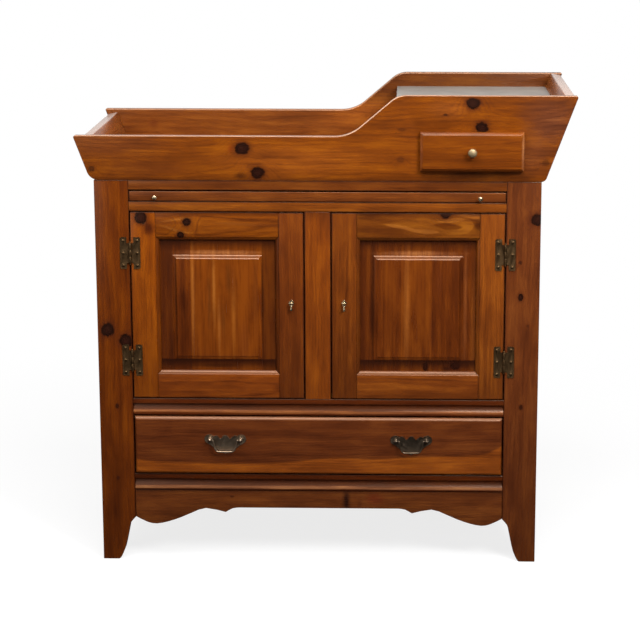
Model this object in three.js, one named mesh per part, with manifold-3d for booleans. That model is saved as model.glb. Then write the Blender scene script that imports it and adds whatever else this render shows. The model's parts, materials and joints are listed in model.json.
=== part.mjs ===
// Dry sink cabinet in stained pine: a case with two doors, a pull-out board and a wide drawer
// stands under a trough with sloping ends, whose right end holds a small drawer under a tray.
// Millimetres, +Z up. The pieces are laid out with X = 0 at the middle of the case, Y = 0 at
// the face of the front frame, Y growing towards the back, and Z = 0 at the floor.

import * as THREE from "three";
import { mergeVertices } from "three/addons/utils/BufferGeometryUtils.js";
import Module from "manifold-3d";

const solids = await Module();
solids.setup();

// Case: overall sizes and board thicknesses
const caseWidth = 1088;
const caseDepth = 521;
const frameThickness = 22;
const stileWidth = 84;
const centreStileWidth = 64;
const sideThickness = 19;
const shelfThickness = 19;
const backThickness = 8;
const backFloorGap = 120;
const shelfRise = 225;
const shelfSetback = 58;

// Heights of the front, from the floor up
const apronTop = 184;
const apronHeight = 47;
const mouldedRailHeight = 42;
const drawerOpening = 153.5;
const doorOpening = 473;
const slideRailHeight = 24;
const slideOpening = 28.5;
const topRailHeight = 24;

// Feet and the scalloped apron
const apronThickness = 19;
const apronSetback = 2;
const apronFlatHalf = 200;
const footHeight = 112;
const toeSetback = 45.5;
const sideArchRound = 60;

// Section of the two moulded rails, measured down from the top edge
const railFillet = 13;
const railQuirk = 6;
const railLip = 10.5;

// Running clearances
const seatGap = 0.3;
const runGap = 0.3;
const doorGap = 2.2;
const drawerGap = 2.2;
const drawerTopGap = 4;
const slideGap = 1;
const slideTopGap = 3.6;
const cutOverrun = 4;

// Trough with sloping ends
const troughBoard = 20;
const endBoard = 28;
const endInset = 1.5;
const endTopFall = 6;
const troughOverhang = 8.5;
const endLean = THREE.MathUtils.degToRad(20.3);
const lowRim = 108.5;
const highRim = 209;
const stepFromRight = 466.5;
const stepAngle = THREE.MathUtils.degToRad(40.4);
const stepFootRadius = 98;
const stepHeadRadius = 60;
const rimTipRadius = 4;
const leftToeRadius = 29;
const rightToeRadius = 14;
const leftEndDrop = 9;
const troughFloorThickness = 19;
const deckFromRight = 354;
const deckDrop = 37;
const deckThickness = 12;
const dividerThickness = 12;
const dividerInset = 6;

// Doors: frame and raised panel
const doorThickness = 22;
const doorMemberWidth = 70;
const stickingWidth = 9;
const stickingStep = 1.2;
const stickingDepth = 9;
const panelGrooveDepth = 8;
const panelTongue = 6;
const panelFaceSetback = 1;
const panelSideBevel = 32;
const panelFootBevel = 28;
const panelTopBevel = 37;
const panelBevelRise = 3.2;
const panelStepWidth = 9;

// Butterfly hinges
const hingeHeight = 79;
const hingeReach = 25;
const hingeStripWidth = 16.5;
const hingeTongueHeight = 50;
const hingeCornerCut = 2.5;
const leafThickness = 1.5;
const barrelRadius = 3.5;
const hingePinRadius = 1.6;
const hingeFinial = 2.2;
const knuckleGap = 0.4;
const upperHingeInset = 102;
const lowerHingeInset = 96;
const nailHeadRadius = 2.6;
const nailHeadHeight = 1.2;
const nailSpacing = 31;
const nailReach = 17.3;

// Drop pulls on the doors
const dropPullInset = 30.5;
const dropPullRise = 244;
const dropPlateWidth = 14;
const dropPlateHeight = 17;
const dropPlateThickness = 1.2;
const dropPostRadius = 2;
const dropPostReach = 8;
const dropBallRadius = 3.2;
const dropPinRadius = 1;
const dropEarRadius = 2;
const dropEarThickness = 1.1;
const dropLength = 20;
const dropRadius = 3.9;

// Pull-out board
const slideBoardThickness = 19;
const slideBoardBehind = 51;
const slideRunnerBehind = 13;
const slideRunnerLedge = 18;
const slideRunnerWall = 20;
const slideKnobInset = 64;
const slideKnobRadius = 6.2;
const slideKnobDrop = 2;
const slideKnobStem = 7;

// Wide drawer
const drawerProud = 6;
const drawerFrontThickness = 22;
const drawerEdgeRadius = 9;
const drawerBoxHeight = 120;
const drawerBoxBehind = 57;
const drawerBoxWall = 12;
const drawerBoxSideGap = 12;
const drawerBottomThickness = 6;
const drawerBottomRise = 10;
const drawerGrooveDepth = 6;
const webThickness = 19;
const webRailWidth = 60;
const webGuideHeight = 24;

// Bat-wing pulls of the wide drawer
const pullFromMiddle = 231.5;
const pullRise = 93;
const pullPostSpacing = 76.2;
const pullPlateHalfWidth = 52;
const pullPlateTop = 12.5;
const pullPlateFoot = 38;
const pullPlateThickness = 1.6;
const pullPostRadius = 3.4;
const pullPostReach = 9.5;
const pullHeadRadius = 5.2;
const bailRadius = 2.1;
const bailPinRadius = 1.7;
const bailBoreRadius = 2.1;
const bailDrop = 30;

// Small drawer under the tray
const smallFrontFromDivider = 41;
const smallFrontHeight = 94.5;
const smallFrontThickness = 19;
const smallFrontFromRight = 44;
const smallFrontRise = 27.5;
const smallFrontBevel = 6.5;
const smallLip = 10;
const smallBoxHeight = 70;
const smallBoxBehind = 71;
const smallBoxWall = 10;
const smallBoxBottom = 6;
const smallBoxGap = 1.5;
const smallGuideWidth = 30;
const smallGuideWall = 12;
const smallGuideLip = 22;
const smallKnobRadius = 11.2;
const smallKnobReach = 21;

// Outlines drawn by hand, as shares of the sizes that they follow
const apronScallopShares = [
  [0.065, 0.052],
  [0.13, 0.26],
  [0.32, 0.04],
  [0.455, 0.3],
  [0.57, 0.58],
  [0.69, 0.81],
  [0.8, 0.93],
  [0.89, 0.84],
];
const footTaperShares = [
  [0.15, 0.87],
  [0.2, 0.74],
  [0.26, 0.52],
  [0.345, 0.25],
  [0.47, 0.04],
];
const coveShares = [
  [1, 1],
  [0.93, 0.8],
  [0.76, 0.55],
  [0.46, 0.28],
  [0.1, 0.06],
];
const panelStepShares = [
  [0.18, 0.36],
  [0.82, 0.66],
];
const plateTopShares = [
  [0.04, 0.84],
  [0.1, 0.7],
  [0.16, 0.4],
  [0.215, 0.14],
  [0.25, 0.12],
  [0.31, 0.38],
  [0.385, 0.7],
  [0.44, 0.8],
  [0.5, 0.74],
  [0.555, 0.62],
  [0.61, 0.76],
  [0.7, 0.96],
  [0.8, 1],
  [0.9, 0.86],
  [0.97, 0.5],
];
const plateFootShares = [
  [0.985, 0.1],
  [0.93, 0.22],
  [0.8, 0.33],
  [0.68, 0.43],
  [0.56, 0.56],
  [0.42, 0.7],
  [0.27, 0.8],
  [0.13, 0.9],
];
const bailShares = [
  [0.93, 0.12],
  [0.88, 0.35],
  [0.78, 0.72],
  [0.6, 0.96],
  [0.3, 1],
];
const dropShares = [
  [0.45, 0.16],
  [0.55, 0.35],
  [0.9, 0.62],
  [1, 0.78],
  [0.72, 0.94],
];
const knobShares = [
  [0.62, 0],
  [0.55, 0.12],
  [0.36, 0.3],
  [0.36, 0.48],
  [0.8, 0.6],
  [1, 0.72],
  [0.95, 0.86],
  [0.6, 0.97],
];

// Facets of round shapes
const arcSteps = 5;
const smallRoundSides = 12;
const roundSides = 20;
const bailSteps = 26;
const samePlace = 0.001;

// Places worked out from the sizes above
const caseHalf = caseWidth / 2;
const openingHalf = caseHalf - stileWidth;
const centreHalf = centreStileWidth / 2;
const sideInner = caseHalf - sideThickness;
const backFace = caseDepth - backThickness;
const bottomRailTop = apronTop + mouldedRailHeight;
const drawerTop = bottomRailTop + drawerOpening;
const middleRailTop = drawerTop + mouldedRailHeight;
const doorTop = middleRailTop + doorOpening;
const slideLow = doorTop + slideRailHeight;
const slideHigh = slideLow + slideOpening;
const caseTop = slideHigh + topRailHeight;
const lowRimTop = caseTop + lowRim;
const highRimTop = caseTop + highRim;
const leanPerRise = Math.tan(endLean);
const endBoardAcross = endBoard / Math.cos(endLean);
const troughHalf = caseHalf + troughOverhang;
const endOuter = troughHalf - endInset;
const troughInnerBack = caseDepth - troughBoard;
const troughFloorTop = caseTop + troughFloorThickness;
const deckLeft = caseHalf - deckFromRight;
const deckTop = highRimTop - deckDrop;

const stainedPine = new THREE.MeshStandardMaterial({ color: 0x8a4a1e, roughness: 0.38, metalness: 0 });
const insidePine = new THREE.MeshStandardMaterial({ color: 0xa8743f, roughness: 0.6, metalness: 0 });
const plywood = new THREE.MeshStandardMaterial({ color: 0x9c7145, roughness: 0.7, metalness: 0 });
const greyLaminate = new THREE.MeshStandardMaterial({ color: 0x9b9894, roughness: 0.35, metalness: 0 });
const antiqueBronze = new THREE.MeshStandardMaterial({ color: 0x4a4034, roughness: 0.45, metalness: 1 });
const paleBrass = new THREE.MeshStandardMaterial({ color: 0xc9a869, roughness: 0.25, metalness: 1 });

// Turns a closed geometry into a solid for joining and cutting.
function toSolid(geometry) {
  const bare = geometry.clone();
  bare.deleteAttribute("normal");
  bare.deleteAttribute("uv");
  const welded = mergeVertices(bare);
  return new solids.Manifold(
    new solids.Mesh({
      numProp: 3,
      vertProperties: new Float32Array(welded.attributes.position.array),
      triVerts: new Uint32Array(welded.index.array),
    }),
  );
}

// Turns a solid back into a geometry.
function toGeometry(solid) {
  const mesh = solid.getMesh();
  const geometry = new THREE.BufferGeometry();
  geometry.setAttribute("position", new THREE.BufferAttribute(mesh.vertProperties, 3));
  geometry.setIndex(new THREE.BufferAttribute(mesh.triVerts, 1));
  return geometry;
}

function join(first, ...others) {
  return toGeometry(others.reduce((whole, next) => whole.add(toSolid(next)), toSolid(first)));
}

function cut(first, ...cutters) {
  return toGeometry(cutters.reduce((whole, next) => whole.subtract(toSolid(next)), toSolid(first)));
}

function common(first, second) {
  return toGeometry(toSolid(first).intersect(toSolid(second)));
}

// A board between two values on each axis, given in either order.
function board(xs, ys, zs) {
  const low = new THREE.Vector3(Math.min(...xs), Math.min(...ys), Math.min(...zs));
  const high = new THREE.Vector3(Math.max(...xs), Math.max(...ys), Math.max(...zs));
  const size = high.clone().sub(low);
  const middle = low.add(high).divideScalar(2);
  return new THREE.BoxGeometry(size.x, size.y, size.z).translate(middle.x, middle.y, middle.z);
}

// Drops points that repeat the one before, so an outline has no edge of no length.
function distinct(points) {
  const kept = points.filter((point, i) => i === 0 || point.distanceTo(points[i - 1]) > samePlace);
  if (kept[0].distanceTo(kept[kept.length - 1]) <= samePlace) {
    kept.pop();
  }
  return kept;
}

// An outline from corners [a, b] or [a, b, radius]: a corner with a radius is rounded by an arc.
function outline(corners) {
  const path = new THREE.Path();
  corners.forEach(([a, b, radius], i) => {
    const corner = new THREE.Vector2(a, b);
    if (!radius) {
      addPoint(path, corner, i);
      return;
    }
    const before = new THREE.Vector2(...corners[(i + corners.length - 1) % corners.length].slice(0, 2));
    const after = new THREE.Vector2(...corners[(i + 1) % corners.length].slice(0, 2));
    addArc(path, corner, before, after, radius, i);
  });
  path.closePath();
  return new THREE.Shape(distinct(path.getPoints(arcSteps)));
}

function addPoint(path, point, i) {
  if (i === 0) {
    path.moveTo(point.x, point.y);
  } else {
    path.lineTo(point.x, point.y);
  }
}

function addArc(path, corner, before, after, radius, i) {
  const back = before.clone().sub(corner).normalize();
  const ahead = after.clone().sub(corner).normalize();
  const half = Math.acos(THREE.MathUtils.clamp(back.dot(ahead), -1, 1)) / 2;
  const tangent = radius / Math.tan(half);
  const start = corner.clone().addScaledVector(back, tangent);
  const end = corner.clone().addScaledVector(ahead, tangent);
  const middle = back.clone().add(ahead).normalize();
  const centre = corner.clone().addScaledVector(middle, radius / Math.sin(half));
  const from = start.clone().sub(centre).angle();
  const to = end.clone().sub(centre).angle();
  addPoint(path, start, i);
  path.absarc(centre.x, centre.y, radius, from, to, back.cross(ahead) > 0);
}

// A smooth run of points from start to end through the places between, for use in an outline.
function smoothRun(start, between, end) {
  const points = [start, ...between, end].map(([a, b]) => new THREE.Vector2(a, b));
  const run = new THREE.SplineCurve(points).getPoints((points.length - 1) * 2);
  return run.map((point) => [point.x, point.y]);
}

// A front-view outline (x, z) made solid from one depth to another.
function frontPrism(shape, near, far) {
  const geometry = new THREE.ExtrudeGeometry(shape, { depth: far - near, bevelEnabled: false });
  return geometry.rotateX(Math.PI / 2).translate(0, far, 0);
}

// A side-view outline (y, z) made solid along X.
function sidePrism(shape, xs) {
  const low = Math.min(...xs);
  const geometry = new THREE.ExtrudeGeometry(shape, { depth: Math.max(...xs) - low, bevelEnabled: false });
  const turn = new THREE.Matrix4().set(0, 0, 1, 0, 1, 0, 0, 0, 0, 1, 0, 0, 0, 0, 0, 1);
  return geometry.applyMatrix4(turn).translate(low, 0, 0);
}

// A plan-view outline (x, y) made solid along Z.
function planPrism(shape, low, high) {
  const geometry = new THREE.ExtrudeGeometry(shape, { depth: high - low, bevelEnabled: false });
  return geometry.translate(0, 0, low);
}

// Round bars along each axis between two values, at the given place on the other two.
function barAlongX(radius, xs, y, z, sides = smallRoundSides) {
  const length = Math.abs(xs[1] - xs[0]);
  const bar = new THREE.CylinderGeometry(radius, radius, length, sides);
  return bar.rotateZ(Math.PI / 2).translate((xs[0] + xs[1]) / 2, y, z);
}

function barAlongY(radius, ys, x, z, sides = smallRoundSides) {
  const length = Math.abs(ys[1] - ys[0]);
  return new THREE.CylinderGeometry(radius, radius, length, sides).translate(x, (ys[0] + ys[1]) / 2, z);
}

function barAlongZ(radius, zs, x, y, sides = smallRoundSides) {
  const length = Math.abs(zs[1] - zs[0]);
  const bar = new THREE.CylinderGeometry(radius, radius, length, sides);
  return bar.rotateX(Math.PI / 2).translate(x, y, (zs[0] + zs[1]) / 2);
}

function smallBall(radius) {
  return new THREE.SphereGeometry(radius, smallRoundSides, smallRoundSides / 2);
}

// A turned shape from (radius, height) points, standing up from the origin.
function turned(points, sides) {
  const profile = points.map(([radius, height]) => new THREE.Vector2(radius, height));
  return new THREE.LatheGeometry(profile, sides);
}

const cabinet = new THREE.Group();

function addPiece(name, geometry, material) {
  const mesh = new THREE.Mesh(geometry, material);
  mesh.name = name;
  cabinet.add(mesh);
}

// The inner edge of a front foot, from the opening's edge down to the floor.
function footEdge(side) {
  const top = [side * openingHalf, footHeight];
  const between = footTaperShares.map(([across, up]) => [
    side * (openingHalf + across * stileWidth),
    up * footHeight,
  ]);
  return smoothRun(top, between, [side * (openingHalf + toeSetback), 0]);
}

function addFrontStile(side, name) {
  const corners = [
    [side * caseHalf, 0],
    [side * caseHalf, caseTop],
    [side * openingHalf, caseTop],
    ...footEdge(side),
  ];
  addPiece(name, frontPrism(outline(corners), 0, frameThickness), stainedPine);
}

// A side panel with an arch between its feet.
function addSidePanel(side, name) {
  const front = frameThickness;
  const archTop = apronTop - apronHeight;
  const archEdge = stileWidth + archTop - footHeight;
  const taper = footTaperShares.map(([across, up]) => [across * stileWidth, up * footHeight]);
  const footRun = smoothRun([0, footHeight], taper, [toeSetback, 0]);
  const frontFoot = footRun.map(([across, up]) => [front + stileWidth - across, up]).reverse();
  const rearFoot = footRun.map(([across, up]) => [caseDepth - stileWidth + across, up]);
  const corners = [
    [front, caseTop],
    [front, 0],
    ...frontFoot,
    [front + archEdge, archTop, sideArchRound],
    [caseDepth - archEdge, archTop, sideArchRound],
    ...rearFoot,
    [caseDepth, 0],
    [caseDepth, caseTop],
  ];
  addPiece(name, sidePrism(outline(corners), [side * sideInner, side * caseHalf]), stainedPine);
}

// A rail of the front frame with a flat fillet, a cove and a lip at its foot.
function addMouldedRail(name, low) {
  const high = low + mouldedRailHeight;
  const lipTop = low + railLip;
  const coveTop = high - railFillet;
  const cove = coveShares.map(([inwards, up]) => [inwards * railQuirk, lipTop + up * (coveTop - lipTop)]);
  const corners = [
    [frameThickness, low],
    [frameThickness, high],
    [0, high],
    [0, coveTop],
    ...cove,
    [0, lipTop],
    [0, low],
  ];
  addPiece(name, sidePrism(outline(corners), [-openingHalf, openingHalf]), stainedPine);
}

// The apron's lower edge on one side, from its flat middle to the foot's edge.
function scallop(side) {
  const flatLow = apronTop - apronHeight;
  const span = openingHalf - apronFlatHalf;
  const places = apronScallopShares.map(([out, down]) => [
    apronFlatHalf + out * span,
    flatLow - down * apronHeight,
  ]);
  const [bend, cusp, crest, ...lobe] = places;
  const cove = smoothRun([apronFlatHalf, flatLow], [bend], cusp);
  const outer = smoothRun(cusp, [crest, ...lobe], [openingHalf, footHeight]);
  return [...cove, ...outer.slice(1)].map(([x, z]) => [side * x, z]);
}

function addApron() {
  const corners = [
    [-openingHalf, apronTop],
    ...scallop(-1).reverse(),
    ...scallop(1),
    [openingHalf, apronTop],
  ];
  addPiece("apron", frontPrism(outline(corners), apronSetback, apronSetback + apronThickness), stainedPine);
}

function addFrontFrame() {
  const across = [-openingHalf, openingHalf];
  const thick = [0, frameThickness];
  addFrontStile(-1, "left_front_stile");
  addFrontStile(1, "right_front_stile");
  addPiece("top_rail", board(across, thick, [slideHigh, caseTop]), stainedPine);
  addPiece("slide_rail", board(across, thick, [doorTop, slideLow]), stainedPine);
  addPiece("centre_stile", board([-centreHalf, centreHalf], thick, [middleRailTop, doorTop]), stainedPine);
  addMouldedRail("middle_rail", drawerTop);
  addMouldedRail("bottom_rail", apronTop);
  addApron();
}

// The frame that carries the wide drawer: a front and a back rail, two runners and two guides.
function addDrawerWebFrame() {
  const low = bottomRailTop - webThickness;
  const guideInner = openingHalf - drawerBoxSideGap + runGap;
  const ys = [frameThickness, backFace];
  const frame = join(
    board([-sideInner, sideInner], [frameThickness, frameThickness + webRailWidth], [low, bottomRailTop]),
    board([-sideInner, sideInner], [backFace - webRailWidth, backFace], [low, bottomRailTop]),
    board([-sideInner, -guideInner + webRailWidth], ys, [low, bottomRailTop]),
    board([sideInner, guideInner - webRailWidth], ys, [low, bottomRailTop]),
    board([-sideInner, -guideInner], ys, [low, bottomRailTop + webGuideHeight]),
    board([sideInner, guideInner], ys, [low, bottomRailTop + webGuideHeight]),
  );
  addPiece("drawer_web_frame", frame, insidePine);
}

const slideBoardHalf = openingHalf - slideGap;
const slideBoardLow = (slideLow + slideHigh - slideBoardThickness) / 2;
const slideBoardHigh = slideBoardLow + slideBoardThickness;
const slideBoardBack = backFace - slideBoardBehind;

// A grooved runner that carries one edge of the pull-out board.
function addSlideRunner(side, name) {
  const low = slideBoardLow - slideRunnerWall;
  const high = slideBoardHigh + slideRunnerWall;
  const grooveEnd = slideBoardHalf + runGap;
  const ys = [frameThickness, backFace - slideRunnerBehind];
  const block = board([side * sideInner, side * (grooveEnd - slideRunnerLedge)], ys, [low, high]);
  const groove = board(
    [side * grooveEnd, side * (grooveEnd - slideRunnerLedge - cutOverrun)],
    [frameThickness - cutOverrun, slideBoardBack + runGap],
    [slideBoardLow - runGap, slideBoardHigh + runGap],
  );
  addPiece(name, cut(block, groove), insidePine);
}

function addCarcass() {
  const inside = [-sideInner, sideInner];
  const shelfLow = middleRailTop + shelfRise;
  addSidePanel(-1, "left_side_panel");
  addSidePanel(1, "right_side_panel");
  addPiece("back_panel", board(inside, [backFace, caseDepth], [backFloorGap, caseTop]), plywood);
  const floorLow = middleRailTop - shelfThickness;
  const floorYs = [frameThickness, backFace];
  addPiece("cupboard_floor", board(inside, floorYs, [floorLow, middleRailTop]), insidePine);
  const shelfYs = [frameThickness + shelfSetback, backFace];
  addPiece("cupboard_shelf", board(inside, shelfYs, [shelfLow, shelfLow + shelfThickness]), insidePine);
  addDrawerWebFrame();
  addSlideRunner(-1, "left_slide_runner");
  addSlideRunner(1, "right_slide_runner");
}

// The outline shared by the trough's front and back boards, with its step up to the tray.
function troughOutline() {
  const stepX = caseHalf - stepFromRight;
  const stepRun = (highRim - lowRim) / Math.tan(stepAngle);
  return outline([
    [-troughHalf, caseTop, leftToeRadius],
    [troughHalf, caseTop, rightToeRadius],
    [troughHalf + leanPerRise * highRim, highRimTop, rimTipRadius],
    [stepX + stepRun, highRimTop, stepHeadRadius],
    [stepX, lowRimTop, stepFootRadius],
    [-troughHalf - leanPerRise * lowRim, lowRimTop, rimTipRadius],
  ]);
}

// A sloping end board that stands between the trough's front and back boards.
function addTroughEnd(side, name, rise, toeRadius) {
  const outerRise = rise - endTopFall;
  const shape = outline([
    [side * endOuter, caseTop, toeRadius],
    [side * (endOuter + leanPerRise * outerRise), caseTop + outerRise, rimTipRadius],
    [side * (endOuter + leanPerRise * rise - endBoardAcross), caseTop + rise],
    [side * (endOuter - endBoardAcross), caseTop],
  ]);
  addPiece(name, frontPrism(shape, troughBoard, troughInnerBack), stainedPine);
}

// The distance from the middle to the inner face of an end board, at a height, less the seat's gap.
function endInner(height) {
  return endOuter - endBoardAcross + leanPerRise * (height - caseTop) - seatGap / Math.cos(endLean);
}

const dividerXs = [deckLeft + dividerInset, deckLeft + dividerInset + dividerThickness];
const smallFrontXs = [dividerXs[1] + smallFrontFromDivider, caseHalf - smallFrontFromRight];
const smallFrontLow = caseTop + smallFrontRise;
const smallBoxXs = [smallFrontXs[0] + smallLip, smallFrontXs[1] - smallLip];
const smallBoxLow = smallFrontLow + smallLip;

function addTroughFloor() {
  const shape = outline([
    [-endInner(caseTop), caseTop],
    [endInner(caseTop), caseTop],
    [endInner(troughFloorTop), troughFloorTop],
    [-endInner(troughFloorTop), troughFloorTop],
  ]);
  addPiece("trough_floor", frontPrism(shape, troughBoard, troughInnerBack), stainedPine);
}

function addTrayDeck() {
  const low = deckTop - deckThickness;
  const shape = outline([
    [deckLeft, low],
    [endInner(low), low],
    [endInner(deckTop), deckTop],
    [deckLeft, deckTop],
  ]);
  addPiece("tray_deck", frontPrism(shape, troughBoard, troughInnerBack), greyLaminate);
}

// Two ledges with side guides that carry the small drawer, tied by a strip at the back.
function addSmallDrawerGuide() {
  const ys = [troughBoard, troughInnerBack];
  const ledgeTop = smallBoxLow - runGap;
  const wallTop = ledgeTop + smallGuideLip;
  const ledgeInner = smallGuideWall - smallGuideWidth;
  const [left, right] = [smallBoxXs[0] - runGap, smallBoxXs[1] + runGap];
  const guide = join(
    board([left - ledgeInner, left - smallGuideWall], ys, [troughFloorTop, ledgeTop]),
    board([left - smallGuideWall, left], ys, [troughFloorTop, wallTop]),
    board([right + ledgeInner, right + smallGuideWall], ys, [troughFloorTop, ledgeTop]),
    board([right + smallGuideWall, right], ys, [troughFloorTop, wallTop]),
    board([left, right], [troughInnerBack - smallGuideWall, troughInnerBack], [troughFloorTop, wallTop]),
  );
  addPiece("small_drawer_guide", guide, insidePine);
}

function addTrough() {
  const shape = troughOutline();
  const mouth = board(
    [smallBoxXs[0] - smallBoxGap, smallBoxXs[1] + smallBoxGap],
    [-cutOverrun, troughBoard + cutOverrun],
    [smallBoxLow - smallBoxGap, smallBoxLow + smallBoxHeight + smallBoxGap],
  );
  addPiece("trough_front", cut(frontPrism(shape, 0, troughBoard), mouth), stainedPine);
  addPiece("trough_back", frontPrism(shape, troughInnerBack, caseDepth), stainedPine);
  addTroughEnd(-1, "trough_left_end", lowRim - leftEndDrop, leftToeRadius);
  addTroughEnd(1, "trough_right_end", highRim, rightToeRadius);
  addTroughFloor();
  addTrayDeck();
  const ys = [troughBoard, troughInnerBack];
  addPiece("tray_divider", board(dividerXs, ys, [troughFloorTop, deckTop - deckThickness]), stainedPine);
  addSmallDrawerGuide();
}

// Door sizes. A place on a door is given by its distance u from the hinge edge and its height.
const doorWidth = openingHalf - centreHalf - 2 * doorGap;
const doorLow = middleRailTop + doorGap;
const doorHigh = doorTop - doorGap;
const doorFlatWidth = doorMemberWidth - stickingWidth;
const tongueBack = stickingDepth + seatGap + panelTongue + seatGap;

function doorX(side, u) {
  return side * (openingHalf - doorGap - u);
}

// The section of a stile or rail of a door, from its outer edge in: (distance, depth) corners.
function memberSection() {
  const grooveFloor = doorMemberWidth - panelGrooveDepth - seatGap;
  return [
    [0, 0],
    [doorFlatWidth, 0],
    [doorFlatWidth, stickingStep],
    [doorFlatWidth + stickingWidth * 0.5, stickingStep + (stickingDepth - stickingStep) * 0.14],
    [doorFlatWidth + stickingWidth * 0.87, stickingStep + (stickingDepth - stickingStep) * 0.5],
    [doorMemberWidth, stickingDepth],
    [grooveFloor, stickingDepth],
    [grooveFloor, tongueBack],
    [doorMemberWidth, tongueBack],
    [doorMemberWidth, doorThickness],
    [0, doorThickness],
  ];
}

function doorStile(side, hingeEdge) {
  const u = (across) => (hingeEdge ? across : doorWidth - across);
  const section = memberSection().map(([across, y]) => [doorX(side, u(across)), y]);
  const front = [
    [0, doorLow],
    [doorFlatWidth, doorLow],
    [doorFlatWidth, doorLow + doorFlatWidth + seatGap],
    [doorMemberWidth, doorLow + doorMemberWidth + seatGap],
    [doorMemberWidth, doorHigh - doorMemberWidth - seatGap],
    [doorFlatWidth, doorHigh - doorFlatWidth - seatGap],
    [doorFlatWidth, doorHigh],
    [0, doorHigh],
  ].map(([across, z]) => [doorX(side, u(across)), z]);
  const full = planPrism(outline(section), doorLow, doorHigh);
  return common(full, frontPrism(outline(front), -cutOverrun, doorThickness + cutOverrun));
}

function doorRail(side, top) {
  const z = (across) => (top ? doorHigh - across : doorLow + across);
  const section = memberSection().map(([across, y]) => [y, z(across)]);
  const start = doorFlatWidth + seatGap;
  const front = [
    [start, 0],
    [start, doorFlatWidth],
    [doorMemberWidth + seatGap, doorMemberWidth],
    [doorWidth - doorMemberWidth - seatGap, doorMemberWidth],
    [doorWidth - start, doorFlatWidth],
    [doorWidth - start, 0],
  ].map(([u, across]) => [doorX(side, u), z(across)]);
  const full = sidePrism(outline(section), [doorX(side, 0), doorX(side, doorWidth)]);
  return common(full, frontPrism(outline(front), -cutOverrun, doorThickness + cutOverrun));
}

// One edge of a raised panel in section, from its rim in: the tongue, the bevel and the step.
function panelEdge(bevel) {
  const front = stickingDepth + seatGap;
  const bevelEnd = panelGrooveDepth + bevel;
  const stepFoot = front - panelBevelRise;
  const stepRise = stepFoot - panelFaceSetback;
  const step = [[0, 0], ...panelStepShares, [1, 1]];
  return [
    [0, front + panelTongue],
    [0, front],
    [panelGrooveDepth, front],
    ...step.map(([across, up]) => [bevelEnd + across * panelStepWidth, stepFoot - up * stepRise]),
  ];
}

// The section of a raised panel across a span, with a bevel of its own width at each end.
function panelSection(low, high, lowBevel, highBevel) {
  const rising = panelEdge(lowBevel).map(([across, y]) => [low + across, y]);
  const falling = panelEdge(highBevel).map(([across, y]) => [high - across, y]).reverse();
  return [...rising, ...falling];
}

function raisedPanel(side) {
  const inset = doorMemberWidth - panelGrooveDepth;
  const xs = [doorX(side, inset), doorX(side, doorWidth - inset)];
  const [left, right] = [Math.min(...xs), Math.max(...xs)];
  const [low, high] = [doorLow + inset, doorHigh - inset];
  const plan = panelSection(left, right, panelSideBevel, panelSideBevel);
  const across = planPrism(outline(plan), low, high);
  const upright = panelSection(low, high, panelFootBevel, panelTopBevel).map(([z, y]) => [y, z]);
  return common(across, sidePrism(outline(upright), [left, right]));
}

// Half a butterfly hinge in front view: a strip with clipped corners and tongues to the barrel.
// Each tongue is a pair of heights that reaches the hinge line; elsewhere the leaf stays clear.
function leafOutline(toX, middle, tongues) {
  const clear = barrelRadius + knuckleGap;
  const stripStart = hingeReach - hingeStripWidth;
  const top = hingeHeight / 2;
  const tongueTop = hingeTongueHeight / 2;
  const teeth = tongues.flatMap(([low, high]) => [[clear, low], [0, low], [0, high], [clear, high]]);
  const corners = [
    [stripStart, -tongueTop],
    [clear, -tongueTop],
    ...teeth,
    [clear, tongueTop],
    [stripStart, tongueTop],
    [stripStart, top],
    [hingeReach - hingeCornerCut, top],
    [hingeReach, top - hingeCornerCut],
    [hingeReach, -top + hingeCornerCut],
    [hingeReach - hingeCornerCut, -top],
    [stripStart, -top],
  ];
  return outline(corners.map(([u, z]) => [toX(u), middle + z]));
}

function nailHead(x, z) {
  const dome = turned(
    [
      [0, 0],
      [nailHeadRadius, 0],
      [nailHeadRadius * 0.75, nailHeadHeight * 0.7],
      [0, nailHeadHeight],
    ],
    smallRoundSides,
  );
  return dome.rotateX(Math.PI).translate(x, -leafThickness, z);
}

function hingeNails(toX, middle) {
  return [-nailSpacing, 0, nailSpacing].map((z) => nailHead(toX(nailReach), middle + z));
}

const hingeLine = openingHalf - doorGap / 2;
const knuckleHalf = hingeTongueHeight / 6;

// The leaf on the front frame, with two knuckles, the pin and its finials.
function frameLeaf(side, middle) {
  const toX = (u) => side * (hingeLine + u);
  const end = hingeTongueHeight / 2;
  const inner = knuckleHalf + knuckleGap / 2;
  const axisX = toX(0);
  const plate = frontPrism(leafOutline(toX, middle, [[-end, -inner], [inner, end]]), -leafThickness, 0);
  const pin = [middle - end - hingeFinial, middle + end + hingeFinial];
  return join(
    plate,
    barAlongZ(barrelRadius, [middle - end, middle - inner], axisX, -barrelRadius),
    barAlongZ(barrelRadius, [middle + inner, middle + end], axisX, -barrelRadius),
    barAlongZ(hingePinRadius, pin, axisX, -barrelRadius),
    ...pin.map((z) => smallBall(hingeFinial).translate(axisX, -barrelRadius, z)),
    ...hingeNails(toX, middle),
  );
}

// The leaf on the door, with the middle knuckle round the pin.
function doorLeaf(side, middle) {
  const toX = (u) => side * (hingeLine - u);
  const inner = knuckleHalf - knuckleGap / 2;
  const axisX = toX(0);
  const plate = frontPrism(leafOutline(toX, middle, [[-inner, inner]]), -leafThickness, 0);
  const bore = [middle - inner - cutOverrun, middle + inner + cutOverrun];
  const knuckle = barAlongZ(barrelRadius, [middle - inner, middle + inner], axisX, -barrelRadius);
  const leaf = join(plate, knuckle, ...hingeNails(toX, middle));
  return cut(leaf, barAlongZ(hingePinRadius + runGap, bore, axisX, -barrelRadius));
}

// The drop pull: a lozenge plate with a post and pierced ball, and a drop with two ears.
const dropAxisY = -dropPlateThickness - dropPostReach;
const dropAxisZ = doorLow + dropPullRise;

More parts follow.
